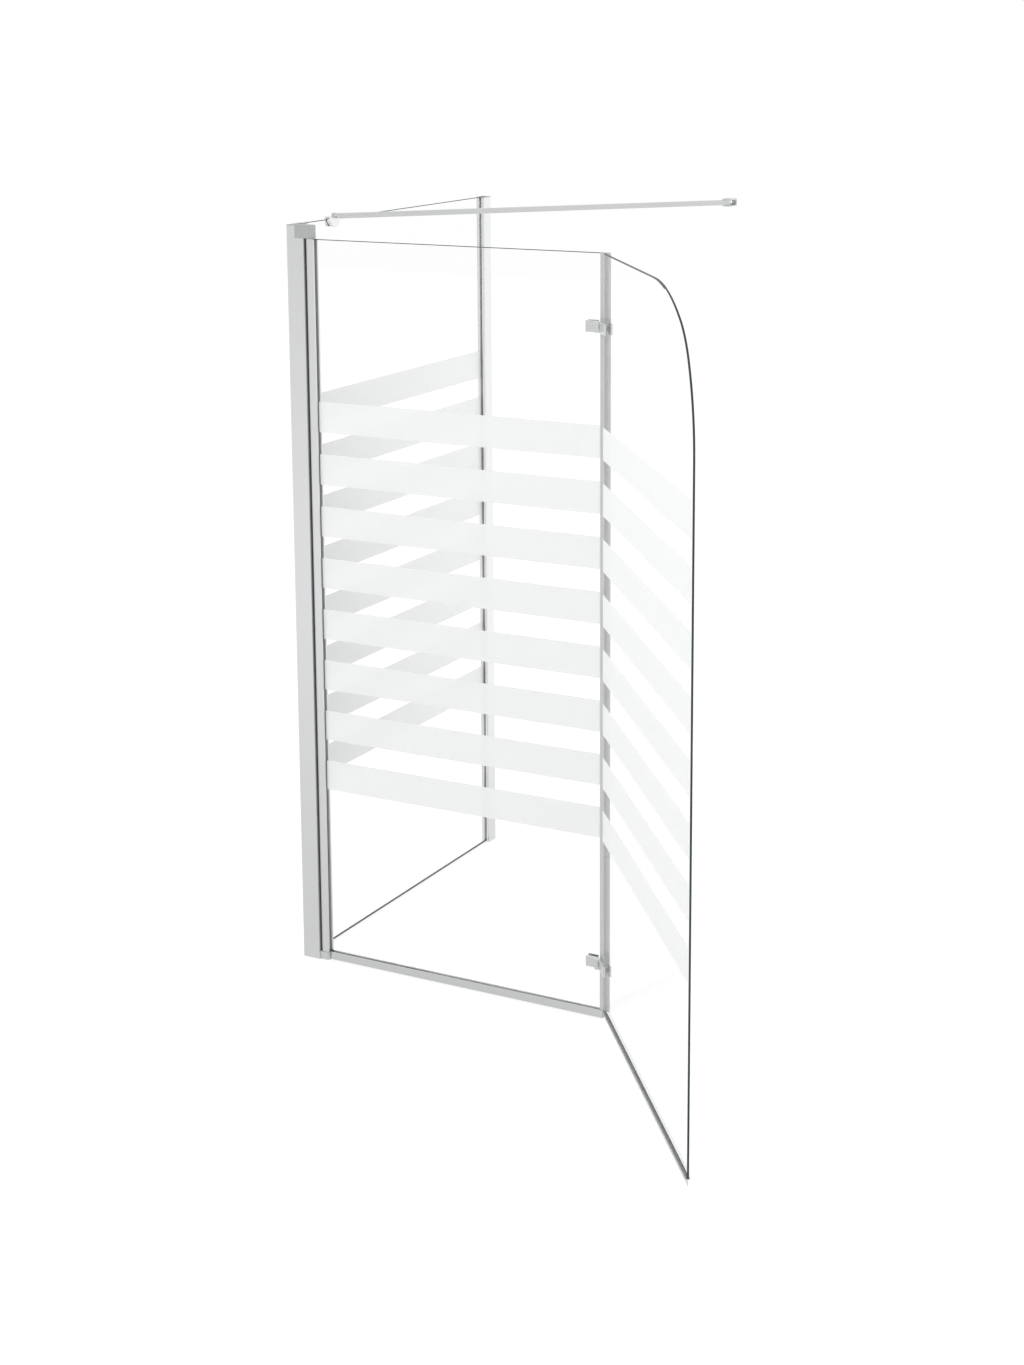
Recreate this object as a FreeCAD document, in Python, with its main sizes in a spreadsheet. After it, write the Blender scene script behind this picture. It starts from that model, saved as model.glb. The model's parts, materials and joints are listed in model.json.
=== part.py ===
"""Folding bath screen: a fixed side pane, a pivoting front pane and an outer fold pane.

The origin lies on the wall plane, at the foot of the wall channel, in the middle of the side pane.
X runs along the front of the bath, Y into the wall, Z up. Lengths are in millimetres.
"""
import FreeCAD, Part
import math
import operator
import os
from types import SimpleNamespace

import Sketcher

SIZES = {
    # Overall
    "screen_height": 1300.0,
    "side_depth": 680.0,
    "glass_thickness": 5.0,
    "run_clearance": 0.1,
    # Wall channel and corner profile, which grip the side pane
    "profile_width": 16.0,
    "gasket_thickness": 2.0,
    "gasket_bead": 0.6,
    "chamber_wall": 1.2,
    "end_cap_thickness": 1.5,
    "channel_depth": 26.0,
    "channel_web": 2.0,
    "channel_glass_gap": 12.0,
    "corner_depth": 40.0,
    "corner_slot": 14.0,
    "corner_glass_gap": 1.0,
    "wall_hole_radius": 2.5,
    "wall_hole_margin": 100.0,
    "wall_hole_inner_margin": 450.0,
    "block_height": 2.0,
    "block_length": 10.0,
    # Pivot post beside the corner profile
    "post_width": 16.6,
    "post_depth": 24.0,
    "post_wall": 1.6,
    "post_seal_setback": 5.0,
    "post_seal_width": 9.0,
    "post_seal_groove": 1.0,
    "post_seal_thickness": 1.2,
    "post_screw_margin": 150.0,
    "post_screw_radius": 2.0,
    "post_screw_length": 7.0,
    "post_screw_head_radius": 3.5,
    "post_screw_head_height": 2.2,
    # Pivot of the front pane
    "pivot_setback": 10.0,
    "pivot_gap": 0.6,
    "pivot_radius": 7.5,
    "pivot_reach": 10.3,
    "pivot_slot": 6.1,
    "pivot_gasket_thickness": 1.5,
    "pivot_glass_gap": 0.3,
    "pivot_pin_radius": 2.5,
    "pivot_pin_hold": 10.0,
    "pivot_pin_reach": 14.0,
    "bush_wall": 0.8,
    "bush_length": 12.0,
    "bush_flange_radius": 5.5,
    "bush_flange_thickness": 1.0,
    "cap_height": 22.0,
    "cap_reach": 7.0,
    "cap_depth": 19.0,
    "cap_proud": 0.5,
    "cap_corner_radius": 4.0,
    "cap_edge_radius": 1.5,
    "spigot_length": 10.0,
    "spigot_clearance": 0.2,
    "foot_height": 14.0,
    "foot_reach": 10.8,
    "tongue_height": 10.0,
    # Front pane with its bottom rail and edge profile
    "front_reach": 539.0,
    "front_overhang": 7.3,
    "top_clearance": 1.4,
    "rail_start": 13.3,
    "rail_width": 10.0,
    "rail_wall": 1.5,
    "rail_bottom": 2.5,
    "rail_over_foot": 1.6,
    "rail_floor": 2.0,
    "rail_lead": 0.3,
    "rail_cap_thickness": 1.4,
    "liner_thickness": 1.0,
    "liner_drop": 0.6,
    "sweep_width": 8.0,
    "sweep_thickness": 0.8,
    "sweep_lip_width": 1.2,
    "sweep_ground_gap": 0.3,
    "edge_leg": 5.0,
    "edge_wall": 1.0,
    "edge_web": 1.2,
    "edge_lip": 8.8,
    "edge_lip_gap": 0.5,
    "edge_bottom": 11.0,
    "edge_rail_gap": 0.2,
    # Frosted bands
    "band_bottom": 316.0,
    "band_height": 53.0,
    "band_pitch": 90.5,
    "band_film": 0.2,
    "band_margin": 0.5,
    # Hinges between front and fold pane
    "hinge_low": 99.0,
    "hinge_drop": 116.0,
    "hinge_height": 18.0,
    "hinge_stand_off": 7.1,
    "leaf_thickness": 3.5,
    "leaf_bevel": 0.5,
    "pad_thickness": 1.5,
    "back_plate_thickness": 2.5,
    "knuckle_radius": 4.5,
    "knuckle_height": 6.0,
    "knuckle_gap": 0.15,
    "knuckle_relief": 0.4,
    "hinge_pin_radius": 2.0,
    "hinge_pin_clearance": 0.06,
    "front_leaf_length": 22.0,
    "front_plate_inset": 4.0,
    "fold_leaf_length": 38.0,
    "fold_plate_inset": 23.0,
    "hinge_screw_radius": 2.0,
    "hinge_screw_head_radius": 3.8,
    "hinge_screw_head_height": 2.0,
    "hinge_screw_bite": 2.5,
    "hinge_screw_clearance": 0.2,
    "collar_wall": 1.8,
    "collar_clearance": 0.1,
    # Fold pane
    "fold_angle": 52.0,
    "fold_start": 12.2,
    "fold_reach": 585.0,
    "fold_bottom": 20.0,
    "corner_top_radius": 305.0,
    "corner_middle_radius": 130.0,
    "corner_side_radius": 265.0,
    "drip_start": 22.5,
    "drip_wall": 1.0,
    "drip_leg": 8.0,
    "drip_floor": 1.5,
    "drip_lip": 9.5,
    "drip_lip_width": 1.2,
    # Support bar from the side pane to the wall
    "bar_size": 9.0,
    "bar_wall": 1.2,
    "bar_corner_radius": 1.0,
    "bar_rise": 5.0,
    "bar_wall_place": 510.0,
    "clamp_setback": 125.0,
    "clamp_rise": 4.0,
    "jaw_radius": 18.0,
    "jaw_thickness": 5.8,
    "jaw_bevel": 0.7,
    "clamp_pad_thickness": 1.2,
    "clamp_pad_margin": 1.0,
    "bridge_gap": 0.3,
    "clamp_leg_half_width": 7.0,
    "clamp_leg_thickness": 2.6,
    "press_jaw_thickness": 1.5,
    "clamp_screw_radius": 2.5,
    "clamp_screw_drop": 7.0,
    "fork_thickness": 2.0,
    "bar_shoulder": 14.0,
    "bar_heel": 3.0,
    "bar_spigot": 15.0,
    "bracket_half_width": 10.5,
    "bracket_reach": 16.0,
    "bracket_web": 2.0,
    "bracket_hole_radius": 2.5,
    "bar_pin_radius": 2.0,
    "bar_pin_hold": 8.0,
    "bar_pin_head_radius": 3.4,
    "bar_pin_head_height": 1.0,
}
BAND_COUNT = 8
SIGNS = {"+": operator.add, "-": operator.sub, "*": operator.mul, "/": operator.truediv}


class Size:
    """A length: its present value and the sheet expression that gives it."""

    def __init__(self, value, text):
        self.value = value
        self.text = text

    def join(self, sign, other):
        if not isinstance(other, Size):
            other = Size(other, str(other))
        value = SIGNS[sign](self.value, other.value)
        return Size(value, f"({self.text} {sign} {other.text})")

    def __add__(self, other):
        return self.join("+", other)

    def __sub__(self, other):
        return self.join("-", other)

    def __mul__(self, other):
        return self.join("*", other)

    def __truediv__(self, other):
        return self.join("/", other)

    def __neg__(self):
        return self.join("*", -1)


ZERO = Size(0.0, "0")
doc = FreeCAD.newDocument("BathScreen")
nodes = []


def make_sheet():
    """Put every driving size in the sheet and return them by name."""
    sheet = doc.addObject("Spreadsheet::Sheet", "Sizes")
    for row, (name, value) in enumerate(SIZES.items(), start=1):
        sheet.set(f"A{row}", name)
        sheet.set(f"B{row}", str(value))
        sheet.setAlias(f"B{row}", name)
    doc.recompute()
    named = {name: Size(value, f"Sizes.{name}") for name, value in SIZES.items()}
    return SimpleNamespace(**named)


size = make_sheet()

# Places that several pieces share
half_glass = size.glass_thickness / 2
half_profile = size.profile_width / 2
slot_half = half_glass + size.gasket_thickness
front_face = -size.side_depth
post_right = half_profile + size.post_width
pivot_x = post_right + size.pivot_gap + size.pivot_radius
pivot_y = front_face + size.pivot_setback
cap_bottom = size.screen_height - size.cap_height
pivot_bottom = size.foot_height + size.run_clearance + size.bush_flange_thickness
pivot_top = cap_bottom - size.run_clearance - size.bush_flange_thickness
bush_radius = size.pivot_pin_radius + size.run_clearance + size.bush_wall
pane_top = cap_bottom - size.top_clearance
pane_start = size.pivot_reach - size.pivot_slot + size.pivot_glass_gap
pane_end = size.front_reach + size.front_overhang
rail_top = size.foot_height + size.rail_over_foot
rail_end = pane_end + size.rail_lead
hinge_depth = size.hinge_stand_off + half_glass
hinge_x = pivot_x + size.front_reach
hinge_y = pivot_y - hinge_depth
leaf_face = size.hinge_stand_off - size.pad_thickness
leaf_back = leaf_face - size.leaf_thickness
glass_back = size.hinge_stand_off + size.glass_thickness
plate_face = glass_back + size.pad_thickness
hinge_heights = {"upper": pane_top - size.hinge_drop, "lower": size.hinge_low}
clamp_y = front_face + size.clamp_setback
clamp_top = size.screen_height + size.clamp_rise
jaw_inside = half_glass + size.clamp_pad_thickness
jaw_outside = jaw_inside + size.jaw_thickness
bar_pin_x = jaw_inside + size.jaw_thickness / 2
bar_z = size.screen_height + size.bar_rise
half_bar = size.bar_size / 2
fork_half_height = half_bar + size.run_clearance
bar_run_x = size.bar_wall_place - bar_pin_x
bar_run_y = -clamp_y - size.bracket_reach
bar_length = Size(math.hypot(bar_run_x.value, bar_run_y.value),
                  f"sqrt({bar_run_x.text}^2 + {bar_run_y.text}^2)")
bar_turn = Size(math.degrees(math.atan2(bar_run_y.value, bar_run_x.value)),
                f"atan2({bar_run_y.text}; {bar_run_x.text})")


# Drawing helpers

def new_body(label):
    return doc.addObject("PartDesign::Body", label)


def new_sketch(body, role, lift=ZERO):
    """A sketch on one of the body's own planes, lifted along the plane's normal."""
    sketch = body.newObject("Sketcher::SketchObject", f"{body.Name}_outline")
    plane = next(item for item in body.Origin.OriginFeatures if item.Role == role)
    sketch.AttachmentSupport = [(plane, "")]
    sketch.MapMode = "FlatFace"
    sketch.setExpression("AttachmentOffset.Base.z", lift.text)
    return sketch


def bind(sketch, kind, places, value):
    index = sketch.addConstraint(Sketcher.Constraint(kind, *places, value.value))
    sketch.setExpression(f"Constraints[{index}]", value.text)


def arc_between(start, end, radius, left):
    """The arc of under a half circle from start to end that turns left or right."""
    chord = end - start
    rise = radius - math.sqrt(max(radius ** 2 - chord.Length ** 2 / 4, 0))
    outward = FreeCAD.Vector(chord.y, -chord.x, 0).normalize()
    if not left:
        outward = outward * -1
    return Part.Arc(start, (start + end) / 2 + outward * rise, end)


def draw(sketch, *corners):
    """A closed outline through corners (x, y) or (x, y, "left" or "right", radius of the arc there)."""
    points = [FreeCAD.Vector(corner[0].value, corner[1].value, 0) for corner in corners]
    edges = []
    for index, corner in enumerate(corners):
        start = points[index - 1]
        end = points[index]
        left = "left" in corner[2:]
        if len(corner) > 2:
            edge = sketch.addGeometry(arc_between(start, end, corner[3].value, left), False)
        else:
            edge = sketch.addGeometry(Part.LineSegment(start, end), False)
        backwards = len(corner) > 2 and not left
        edges.append((edge, 2, 1) if backwards else (edge, 1, 2))
    for (edge, _, tail), (after, head, _) in zip(edges, edges[1:] + edges[:1]):
        sketch.addConstraint(Sketcher.Constraint("Coincident", edge, tail, after, head))
    for (edge, _, tail), corner in zip(edges, corners):
        bind(sketch, "DistanceX", (edge, tail), corner[0])
        bind(sketch, "DistanceY", (edge, tail), corner[1])
        if len(corner) > 2:
            bind(sketch, "Radius", (edge,), corner[3])


def draw_rectangle(sketch, left, low, right, high):
    draw(sketch, (left, low), (right, low), (right, high), (left, high))


def draw_circle(sketch, x, y, radius):
    centre = FreeCAD.Vector(x.value, y.value, 0)
    circle = sketch.addGeometry(Part.Circle(centre, FreeCAD.Vector(0, 0, 1), radius.value), False)
    bind(sketch, "DistanceX", (circle, 3), x)
    bind(sketch, "DistanceY", (circle, 3), y)
    bind(sketch, "Radius", (circle,), radius)


def pad(body, sketch, length, both_ways=False):
    feature = body.newObject("PartDesign::Pad", f"{body.Name}_pad")
    feature.Profile = sketch
    feature.setExpression("Length", length.text)
    if both_ways:
        feature.SideType = "Symmetric"
    return feature


def pocket(body, sketch, length):
    """Cut the sketch's outline over a length along the plane's normal."""
    feature = body.newObject("PartDesign::Pocket", f"{body.Name}_cut")
    feature.Profile = sketch
    feature.setExpression("Length", length.text)
    feature.Reversed = True
    return feature


def turn(body, sketch, axis="V_Axis"):
    feature = body.newObject("PartDesign::Revolution", f"{body.Name}_turned")
    feature.Profile = sketch
    feature.ReferenceAxis = (sketch, [axis])
    feature.Angle = 360
    return feature


def soften_edges(body, feature, kind, width, axis, place_on_axis):
    """Round or bevel the edges of the feature's face that lies at one place on an axis, x, y or z."""
    doc.recompute()
    names = []
    for number, edge in enumerate(feature.Shape.Edges, start=1):
        places = [getattr(vertex.Point, axis) for vertex in edge.Vertexes]
        if all(math.isclose(found, place_on_axis.value, abs_tol=1e-6) for found in places):
            names.append(f"Edge{number}")
    softened = body.newObject(f"PartDesign::{kind}", f"{body.Name}_edges")
    softened.Base = (feature, names)
    softened.setExpression("Radius" if kind == "Fillet" else "Size", width.text)


def box(label, low, high):
    """A plain block between two corners."""
    piece = doc.addObject("Part::Box", label)
    for name, start, end in zip(("Length", "Width", "Height"), low, high):
        piece.setExpression(name, (end - start).text)
    place(piece, *low)
    return piece


def group(label, pieces):
    piece = doc.addObject("Part::Compound", label)
    piece.Links = pieces
    return piece


def place(piece, x, y, z=ZERO, turned=None, axis=(0, 0, 1)):
    if turned is not None:
        rotation = FreeCAD.Rotation(FreeCAD.Vector(axis), turned.value)
        piece.Placement = FreeCAD.Placement(FreeCAD.Vector(), rotation)
        piece.setExpression("Placement.Rotation.Angle", turned.text)
    for letter, distance in zip("xyz", (x, y, z)):
        piece.setExpression(f"Placement.Base.{letter}", distance.text)
    return piece


def keep(piece, label):
    """Name the finished piece and hand it in as a node."""
    piece.Label = label
    nodes.append(piece)


def keep_on_front(piece, label):
    """The front pane's pieces are drawn from the pivot axis, in the pane's middle plane."""
    keep(place(piece, pivot_x, pivot_y), label)


def keep_on_hinge(piece, label, height=ZERO):
    """The front halves of the hinges are drawn from the hinge axis."""
    keep(place(piece, hinge_x, hinge_y, height), label)


def keep_on_fold(piece, label, height=ZERO):
    """The fold pane's pieces are drawn from the hinge axis and swung outwards."""
    keep(place(piece, hinge_x, hinge_y, height, size.fold_angle, (0, 0, -1)), label)


# Side pane

def draw_channel(sketch, mouth, back, floor):
    """A U around the side pane: open at the mouth, closed at the back."""
    draw(sketch,
         (-half_profile, mouth), (-half_profile, back), (half_profile, back), (half_profile, mouth),
         (slot_half, mouth), (slot_half, floor), (-slot_half, floor), (-slot_half, mouth))


def draw_wall_chambers(sketch, near, far):
    """The hollow in each side wall of a channel."""
    inner = slot_half + size.chamber_wall
    outer = half_profile - size.chamber_wall
    draw_rectangle(sketch, inner, near, outer, far)
    draw_rectangle(sketch, -outer, near, -inner, far)


def make_wall_channel():
    length = size.screen_height - size.end_cap_thickness
    mouth = -size.channel_depth
    body = new_body("wall_channel")
    sketch = new_sketch(body, "XY_Plane")
    draw_channel(sketch, mouth, ZERO, -size.channel_web)
    draw_wall_chambers(sketch, mouth + size.chamber_wall, -size.channel_web - size.chamber_wall)
    pad(body, sketch, length)
    holes = new_sketch(body, "XZ_Plane")
    for margin in (size.wall_hole_margin, size.wall_hole_inner_margin):
        draw_circle(holes, ZERO, margin, size.wall_hole_radius)
        draw_circle(holes, ZERO, size.screen_height - margin, size.wall_hole_radius)
    pocket(body, holes, size.channel_web)
    keep(body, "wall_channel")

    cap = new_body("wall_channel_cap")
    sketch = new_sketch(cap, "XY_Plane", length)
    draw_channel(sketch, mouth, ZERO, -size.channel_web)
    pad(cap, sketch, size.end_cap_thickness)
    keep(cap, "wall_channel_cap")
    make_side_gaskets("wall_channel_gaskets", mouth - size.gasket_bead, -size.channel_glass_gap)


def make_side_gaskets(label, near, far):
    strips = []
    for name, left in (("left", -slot_half), ("right", half_glass)):
        low = (left, near, size.block_height)
        high = (left + size.gasket_thickness, far, size.screen_height - size.end_cap_thickness)
        strips.append(box(f"{label}_{name}", low, high))
    keep(group(label, strips), label)


def make_corner_profile():
    length = size.screen_height - size.end_cap_thickness
    mouth = front_face + size.corner_depth
    floor = mouth - size.corner_slot
    body = new_body("corner_profile")
    sketch = new_sketch(body, "XY_Plane")
    draw_channel(sketch, mouth, front_face, floor)
    draw_wall_chambers(sketch, floor + size.chamber_wall, mouth - size.chamber_wall)
    hollow = half_profile - size.post_wall
    draw_rectangle(sketch, -hollow, front_face + size.post_wall, hollow, floor - size.post_wall)
    pad(body, sketch, length)
    cut_post_screw_holes(body, hollow, half_profile)
    keep(body, "corner_profile")

    cap = new_body("corner_cap")
    sketch = new_sketch(cap, "XY_Plane", length)
    draw_channel(sketch, mouth, front_face, floor)
    pad(cap, sketch, size.end_cap_thickness)
    keep(cap, "corner_cap")
    make_side_gaskets("corner_gaskets", floor + size.corner_glass_gap, mouth + size.gasket_bead)


def make_side_pane():
    front = front_face + size.corner_depth - size.corner_slot + size.corner_glass_gap
    back = -size.channel_glass_gap
    low = (-half_glass, front, size.block_height)
    pane = box("side_glass", low, (half_glass, back, size.screen_height))
    keep(pane, "side_glass")

    blocks = []
    for name, start in (("front", front), ("back", back - size.block_length)):
        corner = (half_glass, start + size.block_length, size.block_height)
        blocks.append(box(f"setting_block_{name}", (-half_glass, start, ZERO), corner))
    keep(group("side_setting_blocks", blocks), "side_setting_blocks")

    start = front_face + size.corner_depth + size.gasket_bead + size.band_margin
    end = -size.channel_depth - size.gasket_bead - size.band_margin
    bands = []
    for number in range(BAND_COUNT):
        bottom = size.band_bottom + size.band_pitch * number
        low = (-half_glass - size.band_film, start, bottom)
        bands.append(box(f"side_band_{number}", low, (-half_glass, end, bottom + size.band_height)))
    keep(group("side_bands", bands), "side_bands")


# Pivot post

def post_screw_heights():
    return (size.post_screw_margin, size.screen_height / 2, size.screen_height - size.post_screw_margin)


def post_screw_y():
    return front_face + size.post_depth / 2


def cut_post_screw_holes(body, start, end):
    """Holes across the walls where corner profile and pivot post are screwed together."""
    sketch = new_sketch(body, "YZ_Plane", start)
    for height in post_screw_heights():
        draw_circle(sketch, post_screw_y(), height, size.post_screw_radius)
    pocket(body, sketch, end - start)


def make_pivot_post():
    inner_left = half_profile + size.post_wall
    inner_right = post_right - size.post_wall - size.post_seal_groove
    inner_front = front_face + size.post_wall
    inner_back = front_face + size.post_depth - size.post_wall
    seal_front = front_face + size.post_seal_setback
    seal_back = seal_front + size.post_seal_width
    groove = post_right - size.post_seal_groove

    body = new_body("pivot_post")
    sketch = new_sketch(body, "XY_Plane")
    draw(sketch,
         (half_profile, front_face), (post_right, front_face),
         (post_right, seal_front), (groove, seal_front), (groove, seal_back), (post_right, seal_back),
         (post_right, front_face + size.post_depth), (half_profile, front_face + size.post_depth))
    draw_rectangle(sketch, inner_left, inner_front, inner_right, inner_back)
    pad(body, sketch, cap_bottom)
    notch = new_sketch(body, "XY_Plane")
    tongue_front = inner_front + size.spigot_clearance
    tongue_back = inner_back - size.spigot_clearance
    draw_rectangle(notch, inner_right, tongue_front, post_right, tongue_back)
    pocket(body, notch, size.tongue_height)
    cut_post_screw_holes(body, half_profile, inner_left)
    keep(body, "pivot_post")

    low = (groove, seal_front, size.foot_height)
    seal = box("post_seal", low, (groove + size.post_seal_thickness, seal_back, cap_bottom))
    keep(seal, "post_seal")

    screws = []
    for number, height in enumerate(post_screw_heights()):
        screw = new_body(f"post_screw_{number}")
        sketch = new_sketch(screw, "XY_Plane")
        draw(sketch,
             (-size.post_screw_length, ZERO), (size.post_screw_head_height, ZERO),
             (size.post_screw_head_height, size.post_screw_head_radius), (ZERO, size.post_screw_head_radius),
             (ZERO, size.post_screw_radius), (-size.post_screw_length, size.post_screw_radius))
        turn(screw, sketch, "H_Axis")
        screws.append(place(screw, inner_left, post_screw_y(), height))
    keep(group("post_screws", screws), "post_screws")
    make_pivot_cap(inner_left, inner_front, inner_right, inner_back)
    make_pivot_foot(inner_left, tongue_front, tongue_back)


def make_pivot_cap(inner_left, inner_front, inner_right, inner_back):
    """The head that covers post and pivot, with a spigot in the post and a hole for the upper pin."""
    right = pivot_x + size.cap_reach
    front = front_face - size.cap_proud
    back = front + size.cap_depth
    corner = size.cap_corner_radius
    body = new_body("pivot_cap")
    sketch = new_sketch(body, "XY_Plane", cap_bottom)
    draw(sketch,
         (half_profile, front), (right - corner, front), (right, front + corner, "left", corner),
         (right, back - corner), (right - corner, back, "left", corner), (half_profile, back))
    head = pad(body, sketch, size.cap_height)
    soften_edges(body, head, "Fillet", size.cap_edge_radius, "z", size.screen_height)
    spigot = new_sketch(body, "XY_Plane", cap_bottom - size.spigot_length)
    gap = size.spigot_clearance
    draw_rectangle(spigot, inner_left + gap, inner_front + gap, inner_right - gap, back - size.post_wall)
    pad(body, spigot, size.spigot_length)
    bore = new_sketch(body, "XY_Plane", cap_bottom)
    draw_circle(bore, pivot_x, pivot_y, size.pivot_pin_radius)
    pocket(body, bore, size.pivot_pin_hold)
    keep(body, "pivot_cap")


def make_pivot_foot(inner_left, tongue_front, tongue_back):
    """The bracket under the pivot, with a tongue in the post and a hole for the lower pin."""
    end = pivot_x + size.foot_reach
    round_start = end - size.pivot_radius
    front = pivot_y - size.pivot_radius
    back = pivot_y + size.pivot_radius
    body = new_body("pivot_foot")
    sketch = new_sketch(body, "XY_Plane")
    draw(sketch,
         (post_right, front), (round_start, front), (end, pivot_y, "left", size.pivot_radius),
         (round_start, back, "left", size.pivot_radius), (post_right, back))
    pad(body, sketch, size.foot_height)
    tongue = new_sketch(body, "XY_Plane")
    draw_rectangle(tongue, inner_left + size.spigot_clearance, tongue_front, post_right, tongue_back)
    pad(body, tongue, size.tongue_height)
    bore = new_sketch(body, "XY_Plane", size.foot_height - size.pivot_pin_hold)
    draw_circle(bore, pivot_x, pivot_y, size.pivot_pin_radius)
    pocket(body, bore, size.pivot_pin_hold)
    keep(body, "pivot_foot")


def make_pivot_pins():
    for label, low in (("upper_pivot_pin", cap_bottom - size.pivot_pin_reach),
                       ("lower_pivot_pin", size.foot_height - size.pivot_pin_hold)):
        body = new_body(label)
        sketch = new_sketch(body, "XY_Plane", low)
        draw_circle(sketch, ZERO, ZERO, size.pivot_pin_radius)
        pad(body, sketch, size.pivot_pin_hold + size.pivot_pin_reach)
        keep(place(body, pivot_x, pivot_y), label)


# Front pane

def make_pivot_profile():
    radius = size.pivot_radius
    floor = size.pivot_reach - size.pivot_slot
    slot = half_glass + size.pivot_gasket_thickness
    body = new_body("pivot_profile")
    sketch = new_sketch(body, "XY_Plane", pivot_bottom)
    draw(sketch,
         (size.pivot_reach, -radius), (size.pivot_reach, -slot), (floor, -slot), (floor, slot),
         (size.pivot_reach, slot), (size.pivot_reach, radius), (ZERO, radius),
         (-radius, ZERO, "left", radius), (ZERO, -radius, "left", radius))
    draw_circle(sketch, ZERO, ZERO, bush_radius)
    pad(body, sketch, pivot_top - pivot_bottom)
    keep_on_front(body, "pivot_profile")

    strips = []
    for name, side in (("outer", -slot), ("inner", half_glass)):
        low = (floor, side, pivot_bottom)
        high = (size.pivot_reach + size.gasket_bead, side + size.pivot_gasket_thickness, pivot_top)
        strips.append(box(f"pivot_gasket_{name}", low, high))
    keep_on_front(group("pivot_gaskets", strips), "pivot_gaskets")


def make_pivot_bushes():
    bore = size.pivot_pin_radius + size.run_clearance
    bushes = []
    for name, shoulder, inward in (("upper", pivot_top, -1), ("lower", pivot_bottom, 1)):
        body = new_body(f"{name}_bush")
        sketch = new_sketch(body, "XZ_Plane")
        flange = shoulder - size.bush_flange_thickness * inward
        end = shoulder + size.bush_length * inward
        draw(sketch,
             (bore, flange), (size.bush_flange_radius, flange), (size.bush_flange_radius, shoulder),
             (bush_radius, shoulder), (bush_radius, end), (bore, end))
        turn(body, sketch)
        bushes.append(body)
    keep_on_front(group("pivot_bushes", bushes), "pivot_bushes")


def draw_hinge_holes(sketch, x):
    radius = size.hinge_screw_radius + size.collar_wall + size.collar_clearance
    for height in hinge_heights.values():
        draw_circle(sketch, x, height, radius)


def front_screw_x():
    return -(size.front_leaf_length + size.front_plate_inset) / 2


def fold_screw_x():
    return (size.fold_leaf_length + size.fold_plate_inset) / 2


def make_front_pane():
    bottom = size.rail_bottom + size.rail_floor + size.liner_thickness
    notch_top = rail_top + size.edge_rail_gap
    notch_end = size.rail_start + size.rail_cap_thickness + size.rail_lead
    body = new_body("front_glass")
    sketch = new_sketch(body, "XZ_Plane")
    draw(sketch,
         (pane_start, notch_top), (notch_end, notch_top), (notch_end, bottom),
         (pane_end, bottom), (pane_end, pane_top), (pane_start, pane_top))
    draw_hinge_holes(sketch, size.front_reach + front_screw_x())
    pad(body, sketch, size.glass_thickness, both_ways=True)
    keep_on_front(body, "front_glass")

    start = size.pivot_reach + size.gasket_bead + size.band_margin
    end = pane_end - size.edge_leg - size.band_margin
    keep_on_front(make_bands("front", start, end, -half_glass), "front_bands")


def make_bands(name, start, end, face):
    """Frosted bands on the outer face of the front or fold pane."""
    bands = []
    for number in range(BAND_COUNT):
        bottom = size.band_bottom + size.band_pitch * number
        low = (start, face - size.band_film, bottom)
        bands.append(box(f"{name}_band_{number}", low, (end, face, bottom + size.band_height)))
    return group(f"{name}_bands", bands)


def make_bottom_rail():
    outer = size.rail_width / 2
    inner = outer - size.rail_wall
    floor = size.rail_bottom + size.rail_floor
    start = size.rail_start + size.rail_cap_thickness
    body = new_body("bottom_rail")
    sketch = new_sketch(body, "YZ_Plane", start)
    draw(sketch,
         (-outer, size.rail_bottom), (outer, size.rail_bottom), (outer, rail_top), (inner, rail_top),
         (inner, floor), (-inner, floor), (-inner, rail_top), (-outer, rail_top))
    pad(body, sketch, rail_end - start)
    keep_on_front(body, "bottom_rail")

    liner = new_body("rail_liner")
    sketch = new_sketch(liner, "YZ_Plane", start)
    liner_top = rail_top - size.liner_drop
    liner_floor = floor + size.liner_thickness
    draw(sketch,
         (-inner, floor), (inner, floor), (inner, liner_top), (half_glass, liner_top),
         (half_glass, liner_floor), (-half_glass, liner_floor), (-half_glass, liner_top), (-inner, liner_top))
    pad(liner, sketch, pane_end - size.edge_leg - start)
    keep_on_front(liner, "rail_liner")

    sweep = new_body("rail_sweep")
    sketch = new_sketch(sweep, "YZ_Plane", start)
    flange = size.sweep_width / 2
    lip = size.sweep_lip_width / 2
    under = size.rail_bottom - size.sweep_thickness
    tip = size.sweep_ground_gap
    draw(sketch,
         (-flange, size.rail_bottom), (-flange, under), (-lip, under), (-lip / 2, tip),
         (lip / 2, tip), (lip, under), (flange, under), (flange, size.rail_bottom))
    pad(sweep, sketch, rail_end - start)
    keep_on_front(sweep, "rail_sweep")

    caps = []
    for name, x in (("pivot", size.rail_start), ("hinge", rail_end)):
        cap = new_body(f"rail_cap_{name}")
        sketch = new_sketch(cap, "YZ_Plane", x)
        draw_rectangle(sketch, -outer, size.rail_bottom, outer, rail_top)
        pad(cap, sketch, size.rail_cap_thickness)
        caps.append(cap)
    keep_on_front(group("rail_end_caps", caps), "rail_end_caps")


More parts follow.
